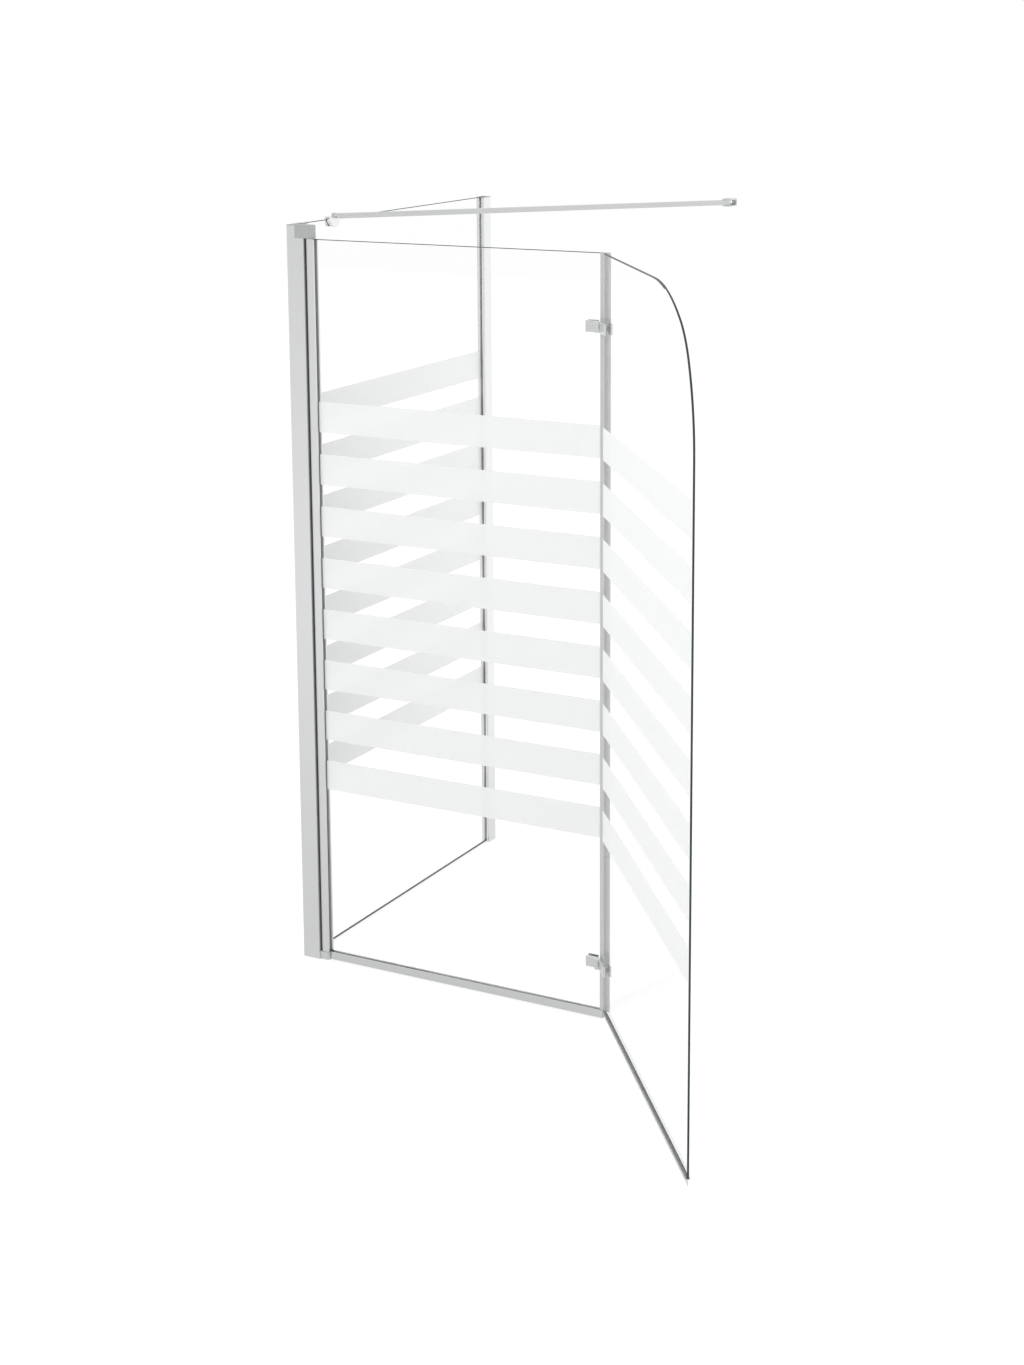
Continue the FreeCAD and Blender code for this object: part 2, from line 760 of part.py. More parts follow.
def make_edge_profile():
    """An h-shaped profile on the front pane's free edge, with a lip behind the fold pane."""
    leg = pane_end - size.edge_leg
    web = pane_end + size.edge_web
    tip = web + size.edge_lip
    face = half_glass + size.edge_wall
    lip = half_glass + size.edge_lip_gap
    lip_back = lip + size.edge_wall
    body = new_body("edge_profile")
    bottom = rail_top + size.edge_rail_gap
    sketch = new_sketch(body, "XY_Plane", bottom)
    draw(sketch,
         (leg, -face), (web, -face), (web, lip), (tip, lip), (tip, lip_back), (leg, lip_back),
         (leg, half_glass), (pane_end, half_glass), (pane_end, -half_glass), (leg, -half_glass))
    pad(body, sketch, pane_top - bottom)
    foot = new_sketch(body, "XY_Plane", size.edge_bottom)
    foot_start = rail_end + size.rail_cap_thickness + size.edge_rail_gap
    draw_rectangle(foot, foot_start, lip, tip, lip_back)
    pad(body, foot, bottom - size.edge_bottom)
    keep_on_front(body, "edge_profile")


# Hinges, each drawn from its own axis and middle height

def make_leaf(label, near, far, screw_x, own_knuckles, other_knuckles):
    """A leaf plate with its knuckles on the hinge axis, cut free of the other leaf's knuckles."""
    half_height = size.hinge_height / 2
    body = new_body(label)
    plate = new_sketch(body, "XY_Plane", -half_height)
    draw_rectangle(plate, near, leaf_back, far, leaf_face)
    plate_pad = pad(body, plate, size.hinge_height)
    soften_edges(body, plate_pad, "Chamfer", size.leaf_bevel, "y", leaf_back)
    for low, high in other_knuckles:
        relief = new_sketch(body, "XY_Plane", low)
        draw_circle(relief, ZERO, ZERO, size.knuckle_radius + size.knuckle_relief)
        pocket(body, relief, high - low)
    for low, high in own_knuckles:
        knuckle = new_sketch(body, "XY_Plane", low)
        draw_circle(knuckle, ZERO, ZERO, size.knuckle_radius)
        pad(body, knuckle, high - low)
    thread = new_sketch(body, "XZ_Plane", -leaf_face)
    draw_circle(thread, screw_x, ZERO, size.hinge_screw_radius)
    pocket(body, thread, size.hinge_screw_bite)
    return body


def bore_knuckles(body, radius):
    bore = new_sketch(body, "XY_Plane", -size.hinge_height / 2)
    draw_circle(bore, ZERO, ZERO, radius)
    pocket(body, bore, size.hinge_height)
    return body


def make_back_plate(label, near, far, screw_x):
    """The plate behind the glass, countersunk for the screw."""
    half_height = size.hinge_height / 2
    body = new_body(label)
    back = plate_face + size.back_plate_thickness
    sketch = new_sketch(body, "XZ_Plane", -back)
    draw_rectangle(sketch, near, -half_height, far, half_height)
    draw_circle(sketch, screw_x, ZERO, size.hinge_screw_radius + size.hinge_screw_clearance)
    pad(body, sketch, size.back_plate_thickness)
    sink = new_sketch(body, "XZ_Plane", -back)
    draw_circle(sink, screw_x, ZERO, size.hinge_screw_head_radius + size.hinge_screw_clearance)
    pocket(body, sink, size.hinge_screw_head_height)
    return body


def make_pads(name, near, far, screw_x):
    """Soft pads on both faces of the glass; the outer one has a collar in the glass hole."""
    half_height = size.hinge_height / 2
    hole_radius = size.hinge_screw_radius + size.hinge_screw_clearance
    collar_radius = size.hinge_screw_radius + size.collar_wall
    collar_length = size.glass_thickness - size.collar_clearance
    pads = []
    for place_name, height in hinge_heights.items():
        for face, plate_back in (("outer", size.hinge_stand_off), ("inner", plate_face)):
            body = new_body(f"{name}_{place_name}_{face}_pad")
            plate = new_sketch(body, "XZ_Plane", -plate_back)
            draw_rectangle(plate, near, -half_height, far, half_height)
            draw_circle(plate, screw_x, ZERO, hole_radius)
            pad(body, plate, size.pad_thickness)
            if face == "outer":
                collar = new_sketch(body, "XZ_Plane", -size.hinge_stand_off - collar_length)
                draw_circle(collar, screw_x, ZERO, collar_radius)
                draw_circle(collar, screw_x, ZERO, hole_radius)
                pad(body, collar, collar_length)
            pads.append(place(body, ZERO, ZERO, height))
    return group(f"{name}_hinge_pads", pads)


def make_hinge_screws(name, screw_x):
    """Countersunk screws from the back plate into the leaf."""
    tip = leaf_face - size.hinge_screw_bite
    back = plate_face + size.back_plate_thickness
    shoulder = back - size.hinge_screw_head_height
    screws = []
    for place_name, height in hinge_heights.items():
        body = new_body(f"{name}_{place_name}_hinge_screw")
        sketch = new_sketch(body, "XY_Plane")
        draw(sketch,
             (ZERO, tip), (size.hinge_screw_radius, tip), (size.hinge_screw_radius, shoulder),
             (size.hinge_screw_head_radius, shoulder), (size.hinge_screw_head_radius, back), (ZERO, back))
        turn(body, sketch)
        screws.append(place(body, screw_x, ZERO, height))
    return group(f"{name}_hinge_screws", screws)


def make_hinge_pin(label):
    body = new_body(label)
    sketch = new_sketch(body, "XY_Plane")
    draw_circle(sketch, ZERO, ZERO, size.hinge_pin_radius)
    pad(body, sketch, size.hinge_height, both_ways=True)
    return body


def make_hinges():
    half_height = size.hinge_height / 2
    half_knuckle = size.knuckle_height / 2
    middle = [(-half_knuckle, half_knuckle)]
    fold_start = half_knuckle + size.knuckle_gap
    outer = [(fold_start, half_height), (-half_height, -fold_start)]
    middle_relief = [(-fold_start, fold_start)]
    outer_relief = [(half_knuckle, half_height), (-half_height, -half_knuckle)]
    front_near = -size.front_leaf_length
    front_far = -size.front_plate_inset
    loose_bore = size.hinge_pin_radius + size.hinge_pin_clearance
    for name, height in hinge_heights.items():
        label = f"{name}_hinge_front_leaf"
        leaf = make_leaf(label, front_near, ZERO, front_screw_x(), middle, outer_relief)
        keep_on_hinge(bore_knuckles(leaf, loose_bore), label, height)
        label = f"{name}_hinge_fold_leaf"
        leaf = make_leaf(label, ZERO, size.fold_leaf_length, fold_screw_x(), outer, middle_relief)
        keep_on_fold(bore_knuckles(leaf, size.hinge_pin_radius), label, height)
        label = f"{name}_hinge_front_back_plate"
        keep_on_hinge(make_back_plate(label, front_near, front_far, front_screw_x()), label, height)
        label = f"{name}_hinge_fold_back_plate"
        plate = make_back_plate(label, size.fold_plate_inset, size.fold_leaf_length, fold_screw_x())
        keep_on_fold(plate, label, height)
        label = f"{name}_hinge_pin"
        keep_on_fold(make_hinge_pin(label), label, height)
    keep_on_hinge(make_pads("front", front_near, front_far, front_screw_x()), "front_hinge_pads")
    keep_on_hinge(make_hinge_screws("front", front_screw_x()), "front_hinge_screws")
    pads = make_pads("fold", size.fold_plate_inset, size.fold_leaf_length, fold_screw_x())
    keep_on_fold(pads, "fold_hinge_pads")
    keep_on_fold(make_hinge_screws("fold", fold_screw_x()), "fold_hinge_screws")


# Fold pane

def draw_fold_outline(sketch):
    """The pane's outline, with its outer top corner swept in three tangent arcs of equal turn."""
    radii = (size.corner_side_radius, size.corner_middle_radius, size.corner_top_radius)
    turn_angle = math.pi / 2 / len(radii)
    across = ZERO
    rise = ZERO
    steps = [(ZERO, ZERO)]
    for number, radius in enumerate(radii):
        before = number * turn_angle
        after = before + turn_angle
        across = across + radius * (math.cos(before) - math.cos(after))
        rise = rise + radius * (math.sin(after) - math.sin(before))
        steps.append((across, rise))
    spring = pane_top - rise
    corners = [(size.fold_start, size.fold_bottom), (size.fold_reach, size.fold_bottom)]
    corners.append((size.fold_reach, spring))
    for (inward, up), radius in zip(steps[1:], radii):
        corners.append((size.fold_reach - inward, spring + up, "left", radius))
    corners.append((size.fold_start, pane_top))
    draw(sketch, *corners)


def make_fold_pane():
    body = new_body("fold_glass")
    sketch = new_sketch(body, "XZ_Plane", -hinge_depth)
    draw_fold_outline(sketch)
    draw_hinge_holes(sketch, fold_screw_x())
    pad(body, sketch, size.glass_thickness, both_ways=True)
    keep_on_fold(body, "fold_glass")

    start = size.fold_start + size.band_margin
    end = size.fold_reach - size.band_margin
    keep_on_fold(make_bands("fold", start, end, size.hinge_stand_off), "fold_bands")


def make_drip_seal():
    """A clear seal clipped on the fold pane's lower edge, with a lip hanging from it."""
    outer = half_glass + size.drip_wall
    top = size.fold_bottom + size.drip_leg
    floor = size.fold_bottom - size.drip_floor
    lip = size.drip_lip_width / 2
    tip = floor - size.drip_lip
    body = new_body("fold_drip_seal")
    sketch = new_sketch(body, "YZ_Plane", size.drip_start)
    shape = (
        (-outer, top), (-outer, floor), (-lip, floor), (-lip / 2, tip), (lip / 2, tip), (lip, floor),
        (outer, floor), (outer, top), (half_glass, top), (half_glass, size.fold_bottom),
        (-half_glass, size.fold_bottom), (-half_glass, top))
    draw(sketch, *((hinge_depth + across, height) for across, height in shape))
    pad(body, sketch, size.fold_reach - size.drip_start)
    keep_on_fold(body, "fold_drip_seal")


# Support bar

def draw_half_disc(sketch, y, top, radius):
    """A half disc that hangs from its flat top."""
    draw(sketch,
         (y - radius, top), (y, top - radius, "left", radius), (y + radius, top, "left", radius))


def make_clamp():
    """A half-round clamp over the side pane's top edge, closed from outside by a grub screw."""
    bridge_low = size.screen_height + size.bridge_gap
    leg_half = size.clamp_leg_half_width
    press_back = jaw_inside + size.press_jaw_thickness
    leg_inside = press_back + size.run_clearance
    leg_outside = leg_inside + size.clamp_leg_thickness
    screw_z = size.screen_height - size.clamp_screw_drop

    inner = new_body("clamp_inner_jaw")
    disc = new_sketch(inner, "YZ_Plane", jaw_inside)
    draw_half_disc(disc, clamp_y, clamp_top, size.jaw_radius)
    disc_pad = pad(inner, disc, size.jaw_thickness)
    soften_edges(inner, disc_pad, "Chamfer", size.jaw_bevel, "x", jaw_outside)
    bridge = new_sketch(inner, "YZ_Plane", -leg_inside)
    draw_rectangle(bridge, clamp_y - leg_half, bridge_low, clamp_y + leg_half, clamp_top)
    pad(inner, bridge, leg_inside + jaw_inside)
    leg = new_sketch(inner, "YZ_Plane", -leg_outside)
    draw(leg,
         (clamp_y - leg_half, clamp_top), (clamp_y - leg_half, screw_z),
         (clamp_y, screw_z - leg_half, "left", leg_half), (clamp_y + leg_half, screw_z, "left", leg_half),
         (clamp_y + leg_half, clamp_top))
    pad(inner, leg, size.clamp_leg_thickness)
    thread = new_sketch(inner, "YZ_Plane", -leg_outside)
    draw_circle(thread, clamp_y, screw_z, size.clamp_screw_radius)
    pocket(inner, thread, size.clamp_leg_thickness)
    eye = new_sketch(inner, "XY_Plane", clamp_top - size.bar_pin_hold)
    draw_circle(eye, bar_pin_x, clamp_y, size.bar_pin_radius)
    pocket(inner, eye, size.bar_pin_hold)
    keep(inner, "clamp_inner_jaw")

    press_radius = leg_half - size.clamp_pad_margin
    outer = new_body("clamp_outer_jaw")
    disc = new_sketch(outer, "YZ_Plane", -press_back)
    draw_circle(disc, clamp_y, screw_z, press_radius)
    pad(outer, disc, size.press_jaw_thickness)
    keep(outer, "clamp_outer_jaw")

    inner_pad = new_body("clamp_pad_inner")
    sketch = new_sketch(inner_pad, "YZ_Plane", half_glass)
    pad_radius = size.jaw_radius - size.clamp_rise - size.clamp_pad_margin
    draw_half_disc(sketch, clamp_y, size.screen_height, pad_radius)
    pad(inner_pad, sketch, size.clamp_pad_thickness)
    outer_pad = new_body("clamp_pad_outer")
    sketch = new_sketch(outer_pad, "YZ_Plane", -jaw_inside)
    draw_circle(sketch, clamp_y, screw_z, press_radius)
    pad(outer_pad, sketch, size.clamp_pad_thickness)
    keep(group("clamp_pads", [inner_pad, outer_pad]), "clamp_pads")

    screw = new_body("clamp_screw")
    sketch = new_sketch(screw, "YZ_Plane", -leg_outside)
    draw_circle(sketch, clamp_y, screw_z, size.clamp_screw_radius)
    pad(screw, sketch, leg_outside - press_back)
    keep(screw, "clamp_screw")


def draw_rounded_square(sketch, half, radius):
    flat = half - radius
    draw(sketch,
         (flat, -half), (half, -flat, "left", radius), (half, flat), (flat, half, "left", radius),
         (-flat, half), (-half, flat, "left", radius), (-half, -flat), (-flat, -half, "left", radius))


def keep_on_bar(piece, label):
    """The bar's pieces are drawn from the clamp's pin, along the bar."""
    keep(place(piece, bar_pin_x, clamp_y, bar_z, bar_turn), label)


def draw_strip(sketch, one_end, other_end, half):
    """A strip along the bar between two places, given in either order."""
    near, far = sorted((one_end, other_end), key=lambda distance: distance.value)
    draw_rectangle(sketch, near, -half, far, half)


def make_bar():
    body = new_body("support_bar")
    sketch = new_sketch(body, "YZ_Plane", size.bar_shoulder)
    draw_rounded_square(sketch, half_bar, size.bar_corner_radius)
    bore = half_bar - size.bar_wall
    draw_rectangle(sketch, -bore, -bore, bore, bore)
    pad(body, sketch, bar_length - size.bar_shoulder * 2)
    keep_on_bar(body, "support_bar")

    tongue_low = clamp_top + size.run_clearance - bar_z
    ends = (("bar_clamp_end", ZERO, 1, "right", tongue_low), ("bar_wall_end", bar_length, -1, "left", -half_bar))
    for label, tip, along, side, nose_low in ends:
        end = new_body(label)
        nose = new_sketch(end, "XY_Plane", nose_low)
        shoulder = tip + size.bar_shoulder * along
        draw(nose,
             (shoulder, half_bar), (shoulder, -half_bar), (tip, -half_bar),
             (tip - half_bar * along, ZERO, side, half_bar), (tip, half_bar, side, half_bar))
        pad(end, nose, half_bar - nose_low)
        heel = new_sketch(end, "XY_Plane", -half_bar)
        draw_strip(heel, shoulder - size.bar_heel * along, shoulder, half_bar)
        pad(end, heel, size.bar_size)
        spigot = new_sketch(end, "XY_Plane", -bore)
        draw_strip(spigot, shoulder, shoulder + size.bar_spigot * along, bore)
        pad(end, spigot, bore * 2)
        eye = new_sketch(end, "XY_Plane", nose_low)
        draw_circle(eye, tip, ZERO, size.bar_pin_radius)
        pocket(end, eye, half_bar - nose_low)
        keep_on_bar(end, label)


def make_wall_bracket():
    """A U-bracket on the wall that takes the bar's end between two cheeks."""
    x = size.bar_wall_place
    half = size.bracket_half_width
    low = bar_z - fork_half_height - size.fork_thickness
    height = (fork_half_height + size.fork_thickness) * 2
    pin_y = -size.bracket_reach
    body = new_body("bar_wall_bracket")
    web = new_sketch(body, "XY_Plane", low)
    draw_rectangle(web, x - half, -size.bracket_web, x + half, ZERO)
    pad(body, web, height)
    for start in (low, bar_z + fork_half_height):
        cheek = new_sketch(body, "XY_Plane", start)
        draw(cheek,
             (x + half, ZERO), (x - half, ZERO), (x - half, pin_y),
             (x, pin_y - half, "left", half), (x + half, pin_y, "left", half))
        pad(body, cheek, size.fork_thickness)
    eye = new_sketch(body, "XY_Plane", low)
    draw_circle(eye, x, pin_y, size.bar_pin_radius)
    pocket(body, eye, height)
    hole = new_sketch(body, "XZ_Plane")
    draw_circle(hole, x, bar_z, size.bracket_hole_radius)
    pocket(body, hole, size.bracket_web)
    keep(body, "bar_wall_bracket")


def make_bar_pins():
    """Upright pins through the bar's ends, with domed heads: one in the clamp's jaw, one in the bracket."""
    radius = size.bar_pin_radius
    head_radius = size.bar_pin_head_radius
    head_height = size.bar_pin_head_height
    dome_radius = (head_radius * head_radius + head_height * head_height) / (head_height * 2)
    clamp_seat = bar_z + half_bar
    low = clamp_top - size.bar_pin_hold
    clamp_pin = new_body("bar_pin_clamp")
    sketch = new_sketch(clamp_pin, "XZ_Plane")
    draw(sketch,
         (ZERO, low), (radius, low), (radius, clamp_seat), (head_radius, clamp_seat),
         (ZERO, clamp_seat + head_height, "left", dome_radius))
    turn(clamp_pin, sketch)

    upper_seat = bar_z + fork_half_height + size.fork_thickness
    lower_seat = bar_z - fork_half_height - size.fork_thickness
    wall_pin = new_body("bar_pin_wall")
    sketch = new_sketch(wall_pin, "XZ_Plane")
    draw(sketch,
         (ZERO, lower_seat - head_height), (head_radius, lower_seat, "left", dome_radius),
         (radius, lower_seat), (radius, upper_seat), (head_radius, upper_seat),
         (ZERO, upper_seat + head_height, "left", dome_radius))
    turn(wall_pin, sketch)
    place(clamp_pin, bar_pin_x, clamp_y)
    place(wall_pin, size.bar_wall_place, -size.bracket_reach)
    keep(group("bar_pins", [clamp_pin, wall_pin]), "bar_pins")


def check(items):
    """Stop if any object failed, a cut took nothing away or a node is not made of sound solids."""
    for item in items:
        if {"Invalid", "Error"} & set(item.State):
            raise RuntimeError(f"{item.Label} failed: {item.State}")
        if item.TypeId == "PartDesign::Pocket":
            if item.BaseFeature.Shape.Volume <= item.Shape.Volume:
                raise RuntimeError(f"{item.Label} cuts nothing")
    for node in nodes:
        if node.Shape.isNull() or not node.Shape.isValid() or not node.Shape.Solids:
            raise RuntimeError(f"{node.Label} is not a sound solid")


make_wall_channel()
make_corner_profile()
make_side_pane()
make_pivot_post()
make_pivot_pins()
make_pivot_profile()
make_pivot_bushes()
make_front_pane()
make_bottom_rail()
make_edge_profile()
make_hinges()
make_fold_pane()
make_drip_seal()
make_clamp()
make_bar()
make_wall_bracket()
make_bar_pins()
doc.recompute()
check(doc.Objects)

os.makedirs("parts", exist_ok=True)
for node in nodes:
    node.Shape.exportStep(f"parts/{node.Label}.step")
print(len(nodes), "nodes written")
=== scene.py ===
import json
import math

import bmesh
import bpy
from mathutils import Matrix, Vector


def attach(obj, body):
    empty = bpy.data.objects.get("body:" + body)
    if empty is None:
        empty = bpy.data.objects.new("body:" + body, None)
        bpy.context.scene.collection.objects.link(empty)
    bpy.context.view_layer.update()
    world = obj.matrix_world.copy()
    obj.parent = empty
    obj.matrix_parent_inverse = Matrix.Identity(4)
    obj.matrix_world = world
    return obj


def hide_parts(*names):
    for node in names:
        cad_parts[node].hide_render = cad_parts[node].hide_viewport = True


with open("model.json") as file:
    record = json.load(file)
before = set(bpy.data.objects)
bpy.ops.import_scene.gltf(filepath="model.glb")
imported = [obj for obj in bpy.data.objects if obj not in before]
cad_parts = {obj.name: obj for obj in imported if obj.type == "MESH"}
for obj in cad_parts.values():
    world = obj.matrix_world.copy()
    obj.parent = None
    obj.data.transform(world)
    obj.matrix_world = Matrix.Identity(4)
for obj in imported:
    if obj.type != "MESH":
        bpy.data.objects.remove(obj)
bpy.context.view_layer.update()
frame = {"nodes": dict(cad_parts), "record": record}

# Panes, in metres: "along" runs from the pane's wall or hinge side, "up" from the rim it stands on
GLASS_THICKNESS = 0.005
ARRIS = 0.0009
HOLE_RADIUS = 0.0039
HOLE_STEPS = 28
SIDE_ALONG = (0.012, 0.653)
SIDE_UP = (0.002, 1.300)
FRONT_ALONG = (0.0045, 0.5463)
FRONT_UP = (0.0055, 1.2766)
FRONT_NOTCH_END = 0.0150
FRONT_NOTCH_TOP = 0.0158
FRONT_HOLE_ALONG = 0.526
FOLD_ALONG = (0.0122, 0.585)
FOLD_UP = (0.020, 1.2766)
FOLD_HOLE_ALONG = 0.0305
FOLD_STAND_OFF = 0.0096
FOLD_CORNER_RADII = (0.265, 0.130, 0.305)
FOLD_CORNER_TURN = math.radians(30.0)
FOLD_CORNER_STEPS = 9
HINGE_HEIGHTS = (0.099, 1.1606)

# Limits for the parts of a face's normal: a pane's face is broad above the first, a rim below
# the second, and the arris of a level rim above the third
BROAD_FACE_LEAN = 0.99
RIM_LEAN = 0.3
LEVEL_ARRIS_LEAN = 0.69

# Where the panes stand
PIVOT_AXIS = (0.0327, -0.670)
HINGE_AXIS = (0.5717, -0.6796)
FOLD_ANGLE = math.radians(52.0)

# Frosted bands
BAND_COUNT = 8
BAND_BOTTOM = 0.316
BAND_HEIGHT = 0.053
BAND_PITCH = 0.0905
BAND_FILM = 0.00017
BAND_LIFT = 0.00003
BAND_CORNER = 0.0012
BAND_CORNER_STEPS = 4
SIDE_BAND_ALONG = (0.0271, 0.6389)
FRONT_BAND_ALONG = (0.0114, 0.5408)
FOLD_BAND_ALONG = (0.0127, 0.5845)

# Screws: the key is the hexagon socket, the face is where a hinge screw's head ends behind the pane
HINGE_SCREW = {"Radius": 0.002, "Length": 0.013, "Head_radius": 0.0038, "Head_height": 0.002,
               "Key": 0.0018, "Key_depth": 0.0012}
HINGE_SCREW_FACE = 0.0065
CLAMP_SCREW = {"Radius": 0.0023, "Length": 0.0027, "Head_radius": 0.0025, "Head_height": 0.0022,
               "Key": 0.00145, "Key_depth": 0.0016}
CLAMP_SCREW_PLACE = (-0.0079, -0.555, 1.293)
HEAD_CHAMFER_SHARE = 0.16
KEY_SIDES = 6
ROUND_STEPS = 32
CREASE_ANGLE = math.radians(30.0)
WELD_DISTANCE = 0.00001

# Support bar, seen from above
BAR_ENDS = ((0.0066, -0.555), (0.510, -0.016))
BAR_TURN = math.atan2(BAR_ENDS[1][1] - BAR_ENDS[0][1], BAR_ENDS[1][0] - BAR_ENDS[0][0])

# Die and draw lines: their stretch on upright and on level extrusions
UPRIGHT_LINES = (700.0, 700.0, 1.2)
LEVEL_LINES = (1.2, 700.0, 700.0)

# Glass: nearly clear square on, a mirror at a slant, dark at the rim
GLASS_TINT = (0.95, 0.97, 0.963)
GLASS_ALPHA = 0.02
SLANT_ALPHA = 0.2
SLANT_POWER = 5.0
EDGE_DEEP = (0.03, 0.042, 0.039)
EDGE_PALE = (0.06, 0.08, 0.074)
EDGE_GLOSS = 0.25

# Frosted film, from the lowest to the highest band: painted shade, darker on the lower bands and
# lighter on the upper ones, as if lit from above
FILM_SHADED_LOW = (0.885, 0.892, 0.892)
FILM_LIT_HIGH = (0.943, 0.95, 0.95)
FILM_ALPHA = 0.80
# Painted light: each pane's film is a lighter copy of the same film, by a share that stands in for the
# light falling on that pane
SIDE_FILM_PAINTED_LIGHT = 1.03
FRONT_FILM_PAINTED_LIGHT = 1.015
FOLD_FILM_PAINTED_LIGHT = 1.035

# Gaskets and seals
DARK_RUBBER = (0.12, 0.12, 0.125)
PALE_GASKET = (0.58, 0.59, 0.59)
CHANNEL_GASKET = (0.72, 0.73, 0.73)
DRIP_LIP_ALPHA = 0.55

# Camera
LENS = 60.901
SENSOR = 36.0
CAMERA_SHIFT = -0.165
CAMERA_PLACE = (2.1599, -3.9097, 1.641)
CAMERA_YAW = math.radians(28.334)
CAMERA_PITCH = math.radians(10.826)
CAMERA_ROLL = math.radians(-0.366)

# Soft lights
LIGHT_TARGET = (0.4, -0.6, 0.7)
SOFTBOX_SIZE = 4.0
KEY_PLACE = (-3.2, -3.2, 2.6)
KEY_POWER = 42.0
FILL_PLACE = (3.6, 0.3, 3.0)
FILL_POWER = 36.0

# Room and floor; a stretch of the floor's glow is where it starts and ends, and how much it adds
WHITE = (1.0, 1.0, 1.0, 1.0)
FLOOR_REACH = 9.0
FLOOR_DROP = 0.0005
ROOM_LIGHT = 0.845
FLOOR_TONE = 0.30
FLOOR_LIFT = 0.785
GLOW_TOWARDS = (0.5, 0.86, 0.0)
ROOM_GLOW = 0.84
ROOM_GLOW_RISE = 0.12
FLOOR_GLOW = 0.70
GLOW_BEHIND = (-0.4, 1.2, 0.30)
GLOW_BEFORE = (-1.0, -3.5, 0.22)
GLOW_FAR_OFF = (-4.5, -8.0, -0.24)


class Link:
    """A socket of a node graph. Sums, products and comparisons of it add Math nodes to the graph."""

    def __init__(self, graph, socket):
        self.graph = graph
        self.socket = socket

    def out(self, name):
        return Link(self.graph, self.socket.node.outputs[name])

    def math(self, operation, first, second):
        return self.graph.node("ShaderNodeMath", {"operation": operation}, {0: first, 1: second})

    def __add__(self, other):
        return self.math("ADD", self, other)

    def __radd__(self, other):
        return self.math("ADD", other, self)

    def __sub__(self, other):
        return self.math("SUBTRACT", self, other)

    def __rsub__(self, other):
        return self.math("SUBTRACT", other, self)

    def __mul__(self, other):
        return self.math("MULTIPLY", self, other)

    def __rmul__(self, other):
        return self.math("MULTIPLY", other, self)

    def __truediv__(self, other):
        return self.math("DIVIDE", self, other)

    def __rtruediv__(self, other):
        return self.math("DIVIDE", other, self)

    def __neg__(self):
        return self.math("MULTIPLY", self, -1.0)

    def __lt__(self, other):
        return self.math("LESS_THAN", self, other)

    def __gt__(self, other):
        return self.math("GREATER_THAN", self, other)


class Graph:
    """A node tree that is written as expressions."""

    def __init__(self, tree):
        self.tree = tree
        tree.nodes.clear()

    def node(self, kind, settings=None, inputs=None):
        """Add a node: its settings first, then the values or links of its sockets."""
        node = self.tree.nodes.new(kind)
        for name, value in (settings or {}).items():
            setattr(node, name, value)
        for key, value in (inputs or {}).items():
            socket = self.find_socket(node, key)
            self.feed(socket, value)
        return Link(self, node.outputs[0]) if len(node.outputs) else None

    def find_socket(self, node, key):
        if isinstance(key, int):
            return node.inputs[key]
        return next(socket for socket in node.inputs if key in (socket.identifier, socket.name))

    def feed(self, socket, value):
        if isinstance(value, list):
            for link in value:
                self.feed(socket, link)
        elif isinstance(value, Link):
            self.tree.links.new(value.socket, socket)
        else:
            socket.default_value = value


class Finish(Graph):
    """A material of one Principled surface, worked out from the piece's own coordinates."""

    def __init__(self, name):
        self.material = bpy.data.materials.new(name)
        self.material.use_nodes = True
        super().__init__(self.material.node_tree)
        self.place = self.node("ShaderNodeTexCoord").out("Object")

    def coordinate(self, axis):
        """How far a point lies along X, Y or Z."""
        return self.node("ShaderNodeSeparateXYZ", None, {"Vector": self.place}).out(axis)

    def noise(self, scale, detail=2.0, stretch=(1.0, 1.0, 1.0), turn=0.0):
        """Noise from 0 to 1, about scale cells to a metre, stretched along a piece's own direction."""
        turned = self.node("ShaderNodeMapping", None,
                           {"Vector": self.place, "Rotation": (0.0, 0.0, turn)})
        stretched = self.node("ShaderNodeVectorMath", {"operation": "MULTIPLY"},
                              {0: turned, 1: stretch})
        return self.node("ShaderNodeTexNoise", None,
                         {"Vector": stretched, "Scale": scale, "Detail": detail}).out("Fac")

    def bump(self, height, depth, strength):
        """Relief of a real depth in metres."""
        return self.node("ShaderNodeBump", None,
                         {"Height": height, "Distance": depth, "Strength": strength})

    def mix(self, share, first, second):
        """A colour between two others, which are colours or links."""
        return self.node("ShaderNodeMix", {"data_type": "RGBA"},
                         {"Factor_Float": share, "A_Color": first, "B_Color": second}).out(2)

    def between(self, share, first, second):
        """A colour between two plain ones."""
        return self.mix(share, (*first, 1.0), (*second, 1.0))

    def mottled(self, colour, noise, darkest, lightest):
        """A colour that a noise makes darker and lighter, to these shares of it."""
        return self.between(noise, shade(colour, darkest), shade(colour, lightest))

    def surface(self, **inputs):
        sockets = {name.replace("_", " "): value for name, value in inputs.items()}
        shader = self.node("ShaderNodeBsdfPrincipled", None, sockets)
        self.node("ShaderNodeOutputMaterial", None, {"Surface": shader})
        return self.material


def shade(colour, share):
    """A colour made darker or lighter by a share."""
    return tuple(part * share for part in colour)


def wander(middle, noise, spread):
    """A value that a noise moves to both sides of its middle, by this spread from end to end."""
    return noise * spread + (middle - spread / 2.0)


def weighted(first, second, share):
    """Two values as one, the first with this share and the second with the rest."""
    return first * share + second * (1.0 - share)


def extruded_metal(name, colour, roughness, stretch, turn=0.0):
    """Anodised extrusion: die lines that run the whole length, and a faint cloudiness."""
    finish = Finish(name)
    lines = finish.noise(scale=1.0, detail=3.0, stretch=stretch, turn=turn)
    clouds = finish.noise(scale=14.0)
    tone = weighted(lines, clouds, share=0.6)
    return finish.surface(
        Base_Color=finish.mottled(colour, tone, darkest=0.93, lightest=1.05),
        Metallic=1.0,
        Roughness=wander(wander(roughness, clouds, spread=0.06), lines, spread=0.10),
        Normal=finish.bump(lines, depth=0.00003, strength=0.5))


